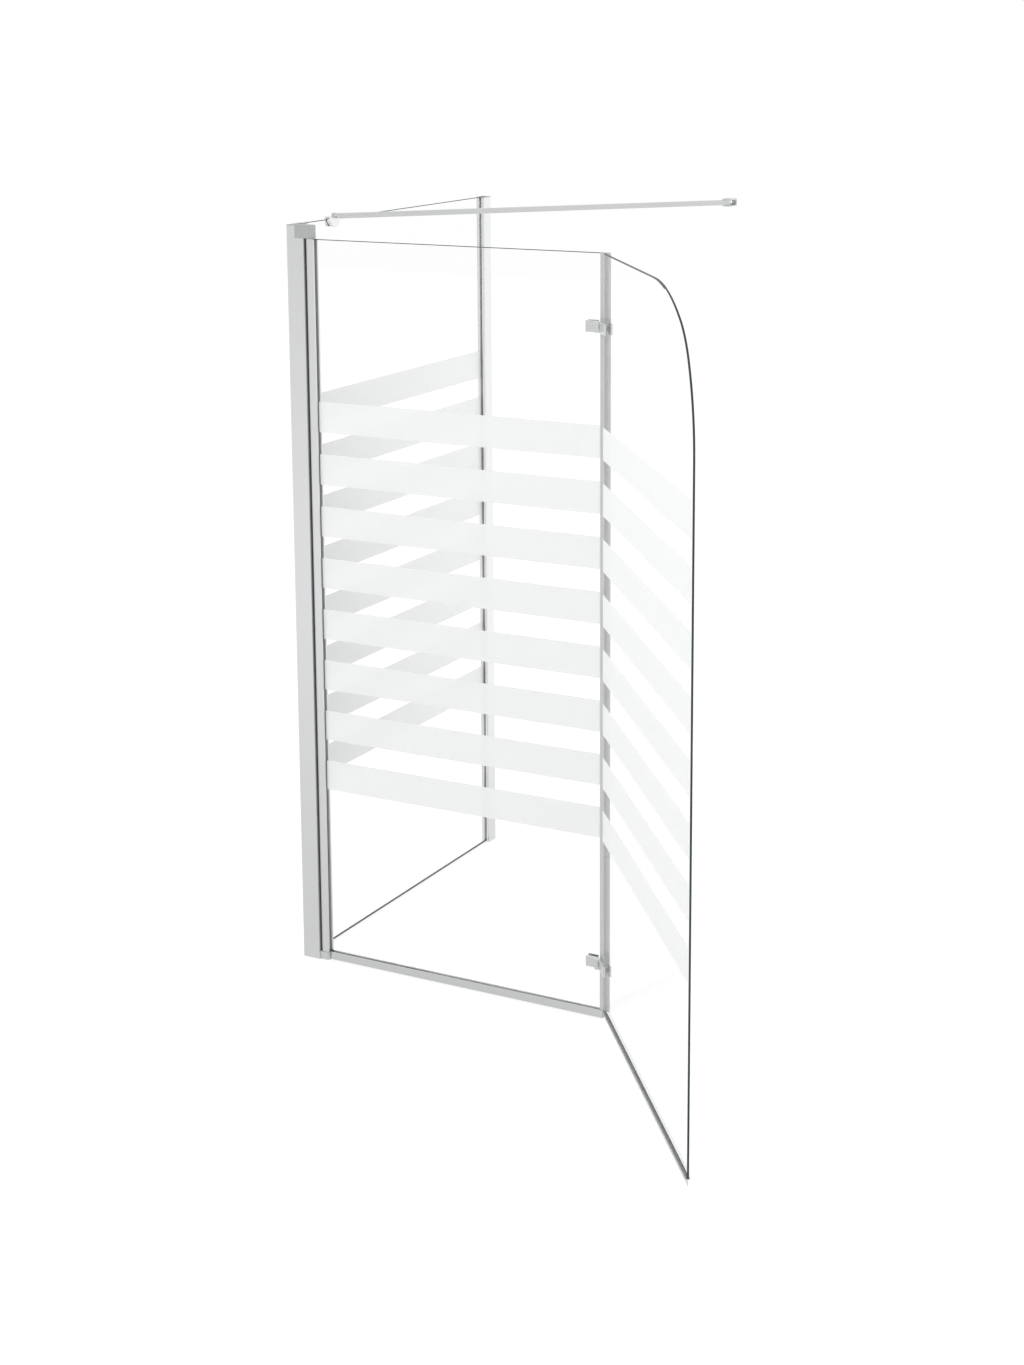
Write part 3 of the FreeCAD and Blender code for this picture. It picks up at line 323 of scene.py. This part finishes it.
def plated_metal(name, colour, roughness):
    """Bright plating: a polished face with a slight orange peel and wiped marks."""
    finish = Finish(name)
    peel = finish.noise(scale=420.0, detail=1.0)
    wiped = finish.noise(scale=90.0, detail=4.0, stretch=(1.0, 1.0, 3.0))
    return finish.surface(
        Base_Color=finish.mottled(colour, wiped, darkest=0.95, lightest=1.03),
        Metallic=1.0,
        Roughness=wander(roughness, wiped, spread=0.10),
        Normal=finish.bump(peel, depth=0.00002, strength=0.35))


def turned_steel(name, colour, roughness):
    """Stainless screws and pins: a fine grain and short scratches."""
    finish = Finish(name)
    grain = finish.noise(scale=2600.0)
    scratches = finish.noise(scale=900.0, detail=3.0, stretch=(1.0, 0.2, 1.0))
    return finish.surface(
        Base_Color=finish.mottled(colour, scratches, darkest=0.88, lightest=1.08),
        Metallic=1.0,
        Roughness=wander(roughness, grain, spread=0.12),
        Normal=finish.bump(scratches, depth=0.00002, strength=0.5))


def moulded_plastic(name, colour, roughness):
    """Moulding with a fine spark-eroded grain."""
    finish = Finish(name)
    grain = finish.noise(scale=2200.0)
    flow = finish.noise(scale=35.0)
    return finish.surface(
        Base_Color=finish.mottled(colour, flow, darkest=0.95, lightest=1.04),
        Roughness=wander(roughness, grain, spread=0.14),
        Normal=finish.bump(grain, depth=0.00004, strength=0.4))


def drawn_plastic(name, colour, roughness, alpha, stretch, lip=None):
    """Extruded plastic seal: long draw lines, slightly cloudy; a lip below a height may be denser."""
    finish = Finish(name)
    if lip:
        lip_top, lip_alpha = lip
        on_lip = finish.coordinate("Z") < lip_top
        alpha = on_lip * (lip_alpha - alpha) + alpha
    lines = finish.noise(scale=1.0, stretch=stretch)
    clouds = finish.noise(scale=60.0, detail=3.0)
    return finish.surface(
        Base_Color=finish.mottled(colour, clouds, darkest=0.94, lightest=1.04),
        Roughness=wander(roughness, lines, spread=0.16),
        Alpha=alpha,
        Normal=finish.bump(lines, depth=0.00006, strength=0.6))


def rubber(name, colour, pale=None):
    """Glazing gasket: dull, with a fine bloom; the strip on the pivot's wall side may be pale."""
    finish = Finish(name)
    grain = finish.noise(scale=1500.0, detail=3.0)
    bloom = finish.noise(scale=22.0, detail=3.0)
    tone = finish.mottled(colour, bloom, darkest=0.8, lightest=1.3)
    if pale:
        on_wall_side = finish.coordinate("Y") > PIVOT_AXIS[1]
        tone = finish.mix(on_wall_side, tone, (*pale, 1.0))
    return finish.surface(
        Base_Color=tone,
        Roughness=wander(middle=0.65, noise=grain, spread=0.2),
        Normal=finish.bump(grain, depth=0.00005, strength=0.5))


def clear_glass(name):
    """The pane's two faces: nearly clear square on, mirror-like at a slant."""
    finish = Finish(name)
    smear = finish.noise(scale=6.0, detail=3.0, stretch=(1.0, 1.0, 0.35))
    facing = finish.node("ShaderNodeLayerWeight", None, {"Blend": 0.5}).out("Facing")
    slant = facing.math("POWER", facing, SLANT_POWER)
    return finish.surface(
        Base_Color=(*GLASS_TINT, 1.0),
        Metallic=1.0,
        Roughness=wander(middle=0.025, noise=smear, spread=0.03),
        Alpha=slant * SLANT_ALPHA + GLASS_ALPHA)


def ground_edge(name):
    """The pane's rim, where the glass is seen through its length: dark grey-green, finely ground."""
    finish = Finish(name)
    grinding = finish.noise(scale=1400.0)
    depth = finish.noise(scale=9.0)
    return finish.surface(
        Base_Color=finish.between(depth, EDGE_DEEP, EDGE_PALE),
        Roughness=wander(middle=0.35, noise=grinding, spread=0.2),
        Specular_IOR_Level=EDGE_GLOSS,
        Normal=finish.bump(grinding, depth=0.00003, strength=0.4))


def frosted_film(name, painted_light_share):
    """Etched white band: fine-grained and slightly see-through, with painted shade that makes it darker
    on the lower bands and lighter on the upper ones.
    """
    finish = Finish(name)
    grain = finish.noise(scale=3200.0)
    clouds = finish.noise(scale=30.0, detail=3.0)
    # Painted shade: the colour runs from darker at the lowest band to lighter at the highest, with some
    # cloudiness mixed in
    painted_shade_rise = (finish.coordinate("Z") - BAND_BOTTOM) / (BAND_COUNT * BAND_PITCH)
    tone = weighted(painted_shade_rise, clouds, share=0.75)
    return finish.surface(
        Base_Color=finish.between(tone, shade(FILM_SHADED_LOW, painted_light_share), shade(FILM_LIT_HIGH, painted_light_share)),
        Roughness=wander(middle=0.675, noise=grain, spread=0.15),
        Alpha=wander(FILM_ALPHA, grain, spread=0.04),
        Normal=finish.bump(grain, depth=0.00003, strength=0.5))


# Finishes of the record's slots, and of single nodes that differ from their slot
FINISHES = {
    "profile": extruded_metal("bright_anodised", (0.865, 0.87, 0.875), roughness=0.30,
                              stretch=UPRIGHT_LINES),
    "cap_plastic": moulded_plastic("silver_grey_moulding", (0.405, 0.425, 0.418), roughness=0.45),
    "bright_metal": plated_metal("bright_plating", (0.83, 0.835, 0.84), roughness=0.16),
    "bar_metal": extruded_metal("satin_silver", (0.735, 0.74, 0.745), roughness=0.36,
                                stretch=LEVEL_LINES, turn=-BAR_TURN),
    "steel": turned_steel("stainless", (0.60, 0.60, 0.60), roughness=0.30),
    "gasket": rubber("dark_gasket", DARK_RUBBER),
    "clear_seal": drawn_plastic("clear_seal", (0.70, 0.72, 0.72), roughness=0.25, alpha=0.28,
                                stretch=UPRIGHT_LINES),
    "edge_seal": drawn_plastic("grey_edge_seal", (0.545, 0.555, 0.56), roughness=0.34, alpha=1.0,
                               stretch=UPRIGHT_LINES),
    "nylon": moulded_plastic("white_nylon", (0.78, 0.78, 0.76), roughness=0.5),
}
CLAMP_PLATING = plated_metal("clamp_plating", (0.93, 0.935, 0.94), roughness=0.16)
OWN_FINISHES = {
    "clamp_inner_jaw": CLAMP_PLATING,
    "clamp_outer_jaw": CLAMP_PLATING,
    # Painted light: a lighter copy of the profile's anodising, for the light that the channel's faces
    # catch
    "wall_channel": extruded_metal("channel_anodised", (0.925, 0.93, 0.935), roughness=0.30,
                                   stretch=UPRIGHT_LINES),
    "pivot_foot": moulded_plastic("foot_moulding", (0.56, 0.58, 0.57), roughness=0.45),
    "bottom_rail": extruded_metal("rail_anodised", (0.79, 0.795, 0.80), roughness=0.32,
                                  stretch=LEVEL_LINES),
    "fold_drip_seal": drawn_plastic("drip_seal", (0.66, 0.68, 0.68), roughness=0.25, alpha=0.10,
                                    stretch=LEVEL_LINES, lip=(FOLD_UP[0], DRIP_LIP_ALPHA)),
    "rail_liner": drawn_plastic("pale_liner", (0.82, 0.83, 0.83), roughness=0.35, alpha=0.95,
                                stretch=LEVEL_LINES),
    "wall_channel_gaskets": rubber("channel_gasket", CHANNEL_GASKET),
    "pivot_gaskets": rubber("pivot_gasket", DARK_RUBBER, PALE_GASKET),
}
GLASS_FACE = clear_glass("clear_glass")
GLASS_EDGE = ground_edge("ground_glass_edge")


def dress_cad_nodes():
    """Give every node that stays its own finish or that of its slot."""
    for part in frame["record"]["subparts"]:
        finish = OWN_FINISHES.get(part["node"], FINISHES.get(part["material_slot"]))
        if finish:
            mesh = frame["nodes"][part["node"]].data
            mesh.materials.clear()
            mesh.materials.append(finish)


def stand(direction, foot, stand_off=0.0):
    """The place of a flat drawing: its x along the pane, its y up, its z towards the banded face."""
    along = Vector((*direction, 0.0))
    up = Vector((0.0, 0.0, 1.0))
    outward = along.cross(up)
    start = Vector((*foot, 0.0)) - outward * stand_off
    return Matrix((
        (along.x, up.x, outward.x, start.x),
        (along.y, up.y, outward.y, start.y),
        (along.z, up.z, outward.z, start.z),
        (0.0, 0.0, 0.0, 1.0)))


SIDE_STAND = stand((0.0, -1.0), (0.0, 0.0))
FRONT_STAND = stand((1.0, 0.0), PIVOT_AXIS)
FOLD_STAND = stand((math.cos(-FOLD_ANGLE), math.sin(-FOLD_ANGLE)), HINGE_AXIS, FOLD_STAND_OFF)


def add_piece(name, mesh, body, slot, *nodes):
    """Put a finished mesh on its body in place of CAD nodes."""
    piece = bpy.data.objects.new(name, mesh)
    bpy.context.scene.collection.objects.link(piece)
    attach(piece, body)
    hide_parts(*nodes)


def plain_mesh(carrier):
    """The evaluated shape of an object as a mesh of its own; the object goes."""
    graph = bpy.context.evaluated_depsgraph_get()
    mesh = bpy.data.meshes.new_from_object(carrier.evaluated_get(graph))
    bpy.data.objects.remove(carrier)
    return mesh


def weld(mesh):
    """Merge doubles and turn all faces outwards."""
    shell = bmesh.new()
    shell.from_mesh(mesh)
    bmesh.ops.remove_doubles(shell, verts=shell.verts, dist=WELD_DISTANCE)
    bmesh.ops.recalc_face_normals(shell, faces=shell.faces)
    shell.to_mesh(mesh)
    shell.free()


def smooth_rounds(mesh):
    """Smooth shading with sharp creases."""
    mesh.shade_smooth()
    mesh.set_sharp_from_angle(angle=CREASE_ANGLE)


def rectangle(along, up):
    """Corners of an upright rectangle, anticlockwise from the lower near corner."""
    return [(along[0], up[0]), (along[1], up[0]), (along[1], up[1]), (along[0], up[1])]


def hole(along, up):
    """A ring of points round a drilled hole."""
    turns = [2.0 * math.pi * step / HOLE_STEPS for step in range(HOLE_STEPS)]
    return [(along + HOLE_RADIUS * math.cos(turn), up + HOLE_RADIUS * math.sin(turn)) for turn in turns]


def swept_corner(along, up):
    """Points of three tangent arcs that end at the top edge, from the outer edge upwards."""
    points = []
    centre_along = 0.0
    centre_up = 0.0
    turn = 0.0
    radius = FOLD_CORNER_RADII[0]
    for next_radius in FOLD_CORNER_RADII:
        centre_along += (radius - next_radius) * math.cos(turn)
        centre_up += (radius - next_radius) * math.sin(turn)
        radius = next_radius
        for step in range(FOLD_CORNER_STEPS):
            angle = turn + FOLD_CORNER_TURN * step / FOLD_CORNER_STEPS
            x = centre_along + radius * math.cos(angle)
            y = centre_up + radius * math.sin(angle)
            points.append((x, y))
        turn += FOLD_CORNER_TURN
    points.append((centre_along, centre_up + radius))
    shift_along = along - points[0][0]
    shift_up = up - points[-1][1]
    return [(x + shift_along, y + shift_up) for x, y in points]


def shows_edge(face, hole_centres, held_until):
    """Whether a face is part of a free rim; holes, held edges and upright arrises look clear."""
    normal = face.normal
    if abs(normal.z) > BROAD_FACE_LEAN or face.center.x < held_until:
        return False
    near_hole = HOLE_RADIUS + 2.0 * ARRIS
    if any(math.dist(face.center[:2], centre) < near_hole for centre in hole_centres):
        return False
    return abs(normal.z) < RIM_LEAN or abs(normal.y) > LEVEL_ARRIS_LEAN


def pane_mesh(name, outline, hole_centres, place):
    """A sheet of glass with drilled holes and arrissed edges; its free rims have the edge finish."""
    drawing = bpy.data.curves.new(name, "CURVE")
    drawing.dimensions = "2D"
    drawing.fill_mode = "BOTH"
    drawing.extrude = GLASS_THICKNESS / 2.0 - ARRIS
    drawing.bevel_depth = ARRIS
    drawing.bevel_resolution = 0
    drawing.offset = -ARRIS
    for ring in [outline, *(hole(*centre) for centre in hole_centres)]:
        spline = drawing.splines.new("POLY")
        spline.points.add(len(ring) - 1)
        for point, (x, y) in zip(spline.points, ring):
            point.co = (x, y, 0.0, 1.0)
        spline.use_cyclic_u = True
    carrier = bpy.data.objects.new(name, drawing)
    bpy.context.scene.collection.objects.link(carrier)
    mesh = plain_mesh(carrier)
    weld(mesh)
    mesh.materials.clear()
    mesh.materials.append(GLASS_FACE)
    mesh.materials.append(GLASS_EDGE)
    held_until = outline[0][0] + ARRIS
    for face in mesh.polygons:
        face.use_smooth = False
        face.material_index = 1 if shows_edge(face, hole_centres, held_until) else 0
    mesh.transform(place)
    return mesh


def make_panes():
    """A plain side pane, a front pane with a notch at its foot, and a fold pane with a swept corner."""
    outline = rectangle(SIDE_ALONG, SIDE_UP)
    add_piece("side_pane", pane_mesh("side_pane", outline, [], SIDE_STAND),
              "fixed_side", "glass", "side_glass")
    near, far = FRONT_ALONG
    low, high = FRONT_UP
    outline = [(near, FRONT_NOTCH_TOP), (FRONT_NOTCH_END, FRONT_NOTCH_TOP), (FRONT_NOTCH_END, low),
               (far, low), (far, high), (near, high)]
    hole_centres = [(FRONT_HOLE_ALONG, up) for up in HINGE_HEIGHTS]
    add_piece("front_pane", pane_mesh("front_pane", outline, hole_centres, FRONT_STAND),
              "front_panel", "glass", "front_glass")
    near, far = FOLD_ALONG
    low, high = FOLD_UP
    outline = [(near, low), (far, low), *swept_corner(far, high), (near, high)]
    hole_centres = [(FOLD_HOLE_ALONG, up) for up in HINGE_HEIGHTS]
    add_piece("fold_pane", pane_mesh("fold_pane", outline, hole_centres, FOLD_STAND),
              "fold_panel", "glass", "fold_glass")


class Recipe(Graph):
    """A geometry tree with named sizes that makes repeated pieces."""

    def __init__(self, name, **sizes):
        super().__init__(bpy.data.node_groups.new(name, "GeometryNodeTree"))
        self.sockets = {}
        for label, kind in {**sizes, "Finish": "Material"}.items():
            socket_type = f"NodeSocket{kind}"
            item = self.tree.interface.new_socket(label, in_out="INPUT", socket_type=socket_type)
            self.sockets[label] = item.identifier
        self.tree.interface.new_socket("Pieces", in_out="OUTPUT", socket_type="NodeSocketGeometry")
        self.start = self.tree.nodes.new("NodeGroupInput")

    def size(self, label):
        return Link(self, self.start.outputs[label])

    def offset(self, y=0.0, z=0.0):
        return self.node("ShaderNodeCombineXYZ", None, {"Y": y, "Z": z})

    def lowered(self, solid, depth):
        return self.node("GeometryNodeTransform", None,
                         {"Geometry": solid, "Translation": self.offset(z=-depth)})

    def column(self, count, pitch):
        """Points one above the other."""
        return self.node("GeometryNodeMeshLine", {"mode": "OFFSET"},
                         {"Count": count, "Offset": self.offset(y=pitch)})

    def disc(self, radius, steps):
        return self.node("GeometryNodeMeshCircle", {"fill_type": "NGON"},
                         {"Vertices": steps, "Radius": radius})

    def grown(self, mesh, depth, **choice):
        """Faces drawn out along their normals in one block."""
        return self.node("GeometryNodeExtrudeMesh", {"mode": "FACES"},
                         {"Mesh": mesh, "Offset Scale": depth, "Individual": False, **choice})

    def closed(self, walls, face):
        """Walls that were grown from a face, with that face turned round as their floor."""
        floor = self.node("GeometryNodeFlipFaces", None, {"Mesh": face})
        both = self.node("GeometryNodeJoinGeometry", None, {"Geometry": [walls, floor]})
        return self.node("GeometryNodeMergeByDistance", None,
                         {"Geometry": both, "Distance": WELD_DISTANCE})

    def thicken(self, face, depth):
        """A closed solid from a flat face, grown along its normal."""
        return self.closed(self.grown(face, depth), face)

    def serve(self, points, solid):
        """Set the solid on every point and end the tree."""
        spread = self.node("GeometryNodeInstanceOnPoints", None, {"Points": points, "Instance": solid})
        real = self.node("GeometryNodeRealizeInstances", None, {"Geometry": spread})
        coated = self.node("GeometryNodeSetMaterial", None,
                           {"Geometry": real, "Material": self.size("Finish")})
        self.node("NodeGroupOutput", None, {"Pieces": coated})

    def make(self, name, **sizes):
        """One plain mesh of the recipe at these sizes."""
        carrier = bpy.data.objects.new(name, bpy.data.meshes.new(name))
        bpy.context.scene.collection.objects.link(carrier)
        modifier = carrier.modifiers.new(name, "NODES")
        modifier.node_group = self.tree
        for label, value in sizes.items():
            modifier[self.sockets[label]] = value
        mesh = plain_mesh(carrier)
        mesh.name = name
        return mesh


def band_recipe():
    """A column of frosted bands with slightly rounded corners."""
    recipe = Recipe("frosted_bands", Count="Int", Pitch="Float", Length="Float", Height="Float",
                    Film="Float", Corner="Float")
    border = recipe.node("GeometryNodeCurvePrimitiveQuadrilateral", None,
                         {"Width": recipe.size("Length"), "Height": recipe.size("Height")})
    rounded = recipe.node("GeometryNodeFilletCurve", None,
                          {"Curve": border, "Radius": recipe.size("Corner"),
                           "Count": BAND_CORNER_STEPS})
    face = recipe.node("GeometryNodeFillCurve", None, {"Curve": rounded})
    film = recipe.thicken(face, recipe.size("Film"))
    recipe.serve(recipe.column(recipe.size("Count"), recipe.size("Pitch")), film)
    return recipe


def make_bands():
    """The bands of each pane, in a copy of the film made lighter by that pane's share of painted light.
    """
    recipe = band_recipe()
    first_up = BAND_BOTTOM + BAND_HEIGHT / 2.0
    face_out = GLASS_THICKNESS / 2.0 + BAND_LIFT
    for name, along, place, body, painted_light_share in (
            ("side_frosting", SIDE_BAND_ALONG, SIDE_STAND, "fixed_side", SIDE_FILM_PAINTED_LIGHT),
            ("front_frosting", FRONT_BAND_ALONG, FRONT_STAND, "front_panel", FRONT_FILM_PAINTED_LIGHT),
            ("fold_frosting", FOLD_BAND_ALONG, FOLD_STAND, "fold_panel", FOLD_FILM_PAINTED_LIGHT)):
        # Painted light: a lit copy of the film for this pane
        film = frosted_film(name.replace("frosting", "film"), painted_light_share)
        mesh = recipe.make(name, Count=BAND_COUNT, Pitch=BAND_PITCH, Length=along[1] - along[0],
                           Height=BAND_HEIGHT, Film=BAND_FILM, Corner=BAND_CORNER, Finish=film)
        first = Vector((sum(along) / 2.0, first_up, face_out))
        mesh.transform(place @ Matrix.Translation(first))
        weld(mesh)
        add_piece(name, mesh, body, "frosting", name.replace("frosting", "bands"))


def screw_recipe():
    """Low-headed screws with a chamfered rim and a hexagon socket; the head's face lies at z 0."""
    recipe = Recipe("socket_screws", Count="Int", Spacing="Float", Radius="Float", Length="Float",
                    Head_radius="Float", Head_height="Float", Key="Float", Key_depth="Float")
    head_height = recipe.size("Head_height")
    chamfer = head_height * HEAD_CHAMFER_SHARE
    disc = recipe.disc(recipe.size("Head_radius"), ROUND_STEPS)
    barrel = recipe.grown(disc, head_height - chamfer)
    rim = recipe.grown(barrel, chamfer, Selection=barrel.out("Top"))
    bevelled = recipe.node("GeometryNodeScaleElements", {"domain": "FACE"},
                           {"Geometry": rim, "Selection": rim.out("Top"),
                            "Scale": 1.0 - chamfer / recipe.size("Head_radius")})
    head = recipe.lowered(recipe.closed(bevelled, disc), head_height)
    shank = recipe.thicken(recipe.disc(recipe.size("Radius"), ROUND_STEPS),
                           recipe.size("Length") - head_height / 2.0)
    shank = recipe.lowered(shank, recipe.size("Length"))
    blank = recipe.node("GeometryNodeMeshBoolean", {"operation": "UNION"}, {"Mesh 2": [head, shank]})
    key = recipe.thicken(recipe.disc(recipe.size("Key"), KEY_SIDES), recipe.size("Key_depth") * 2.0)
    key = recipe.lowered(key, recipe.size("Key_depth"))
    screw = recipe.node("GeometryNodeMeshBoolean", {"operation": "DIFFERENCE"},
                        {"Mesh 1": blank, "Mesh 2": key})
    recipe.serve(recipe.column(recipe.size("Count"), recipe.size("Spacing")), screw)
    return recipe


def make_screws():
    """The screws of the hinges' back plates and the clamp's grub screw."""
    recipe = screw_recipe()
    lowest, highest = HINGE_HEIGHTS
    turned_back = Matrix.Rotation(math.pi, 4, "Y")
    for name, along, place, body in (
            ("front_hinge_fasteners", FRONT_HOLE_ALONG, FRONT_STAND, "front_panel"),
            ("fold_hinge_fasteners", FOLD_HOLE_ALONG, FOLD_STAND, "fold_panel")):
        mesh = recipe.make(name, Count=len(HINGE_HEIGHTS), Spacing=highest - lowest,
                           Finish=FINISHES["steel"], **HINGE_SCREW)
        first = Vector((along, lowest, -HINGE_SCREW_FACE))
        mesh.transform(place @ Matrix.Translation(first) @ turned_back)
        smooth_rounds(mesh)
        add_piece(name, mesh, body, "steel", name.replace("fasteners", "screws"))
    mesh = recipe.make("clamp_fastener", Count=1, Spacing=0.0, Finish=FINISHES["steel"], **CLAMP_SCREW)
    towards_outside = Matrix.Rotation(-math.pi / 2.0, 4, "Y")
    mesh.transform(Matrix.Translation(CLAMP_SCREW_PLACE) @ towards_outside)
    smooth_rounds(mesh)
    add_piece("clamp_fastener", mesh, "fixed_side", "steel", "clamp_screw")


def towards_wall(graph, place):
    """How far a place or a way lies towards the wall, which is the room's brighter side."""
    return graph.node("ShaderNodeVectorMath", {"operation": "DOT_PRODUCT"},
                      {0: place, 1: GLOW_TOWARDS}).out("Value")


def stretch_of_glow(graph, place, start, end, added):
    """Nothing up to the start, all that is added from the end on, and a slope between them."""
    share = graph.node("ShaderNodeMapRange", None,
                       {"Value": place, "From Min": start, "From Max": end})
    return share * added


def make_room():
    """White to the eye and through glass, a soft glow in shiny faces, and a plain light."""
    world = bpy.data.worlds.new("white_room")
    bpy.context.scene.world = world
    world.use_nodes = True
    room = Graph(world.node_tree)
    path = room.node("ShaderNodeLightPath")
    straight = path.math("MAXIMUM", path.out("Is Camera Ray"), path.out("Is Transmission Ray"))
    glossy = path.out("Is Glossy Ray")
    way = room.node("ShaderNodeTexCoord").out("Generated")
    glow = towards_wall(room, way) * ROOM_GLOW_RISE + ROOM_GLOW
    unseen = (1.0 - straight) * (1.0 - glossy)
    light = room.node("ShaderNodeBackground", None,
                      {"Color": WHITE, "Strength": straight + glossy * glow + unseen * ROOM_LIGHT})
    room.node("ShaderNodeOutputWorld", None, {"Surface": light})


def floor_finish():
    """A pale matt floor that keeps the shadow; shiny faces mirror it as a glow."""
    material = bpy.data.materials.new("pale_floor")
    material.use_nodes = True
    ground = Graph(material.node_tree)
    matt = ground.node("ShaderNodeBsdfDiffuse", None, {"Color": (*[FLOOR_TONE] * 3, 1.0)})
    lift = ground.node("ShaderNodeEmission", None, {"Color": WHITE, "Strength": FLOOR_LIFT})
    lit = ground.node("ShaderNodeAddShader", None, {0: matt, 1: lift})
    away = towards_wall(ground, ground.node("ShaderNodeTexCoord").out("Object"))
    behind = stretch_of_glow(ground, away, *GLOW_BEHIND)
    before = stretch_of_glow(ground, away, *GLOW_BEFORE)
    far_off = stretch_of_glow(ground, away, *GLOW_FAR_OFF)
    glow = behind + before + far_off + FLOOR_GLOW
    mirrored = ground.node("ShaderNodeEmission", None, {"Color": WHITE, "Strength": glow})
    glossy = ground.node("ShaderNodeLightPath").out("Is Glossy Ray")
    seen = ground.node("ShaderNodeMixShader", None, {0: glossy, 1: lit, 2: mirrored})
    ground.node("ShaderNodeOutputMaterial", None, {"Surface": seen})
    return material


def make_floor():
    plane = bmesh.new()
    bmesh.ops.create_grid(plane, x_segments=1, y_segments=1, size=FLOOR_REACH)
    mesh = bpy.data.meshes.new("floor")
    plane.to_mesh(mesh)
    plane.free()
    mesh.transform(Matrix.Translation((0.0, 0.0, -FLOOR_DROP)))
    mesh.materials.append(floor_finish())
    floor = bpy.data.objects.new("floor", mesh)
    bpy.context.scene.collection.objects.link(floor)


def add_softbox(name, place, power):
    """A square soft light; shiny faces mirror the room and not the lamp."""
    lamp = bpy.data.lights.new(name, "AREA")
    lamp.shape = "SQUARE"
    lamp.size = SOFTBOX_SIZE
    lamp.energy = power
    light = bpy.data.objects.new(name, lamp)
    bpy.context.scene.collection.objects.link(light)
    light.visible_glossy = False
    light.location = place
    forward = Vector(LIGHT_TARGET) - Vector(place)
    light.rotation_euler = forward.to_track_quat("-Z", "Y").to_euler()


def make_camera():
    """The photograph's place and angle of view."""
    lens = bpy.data.cameras.new("camera")
    lens.lens = LENS
    lens.sensor_width = SENSOR
    lens.shift_y = CAMERA_SHIFT
    camera = bpy.data.objects.new("camera", lens)
    bpy.context.scene.collection.objects.link(camera)
    level = math.cos(CAMERA_PITCH)
    forward = Vector((-math.sin(CAMERA_YAW) * level,
                      math.cos(CAMERA_YAW) * level,
                      -math.sin(CAMERA_PITCH)))
    camera.location = CAMERA_PLACE
    turn = forward.to_track_quat("-Z", "Y").to_matrix() @ Matrix.Rotation(CAMERA_ROLL, 3, "Z")
    camera.rotation_euler = turn.to_euler()
    bpy.context.scene.camera = camera


bpy.context.scene.view_settings.view_transform = "Standard"
make_camera()
make_room()
make_floor()
add_softbox("key", KEY_PLACE, KEY_POWER)
add_softbox("fill", FILL_PLACE, FILL_POWER)
dress_cad_nodes()
make_panes()
make_bands()
make_screws()
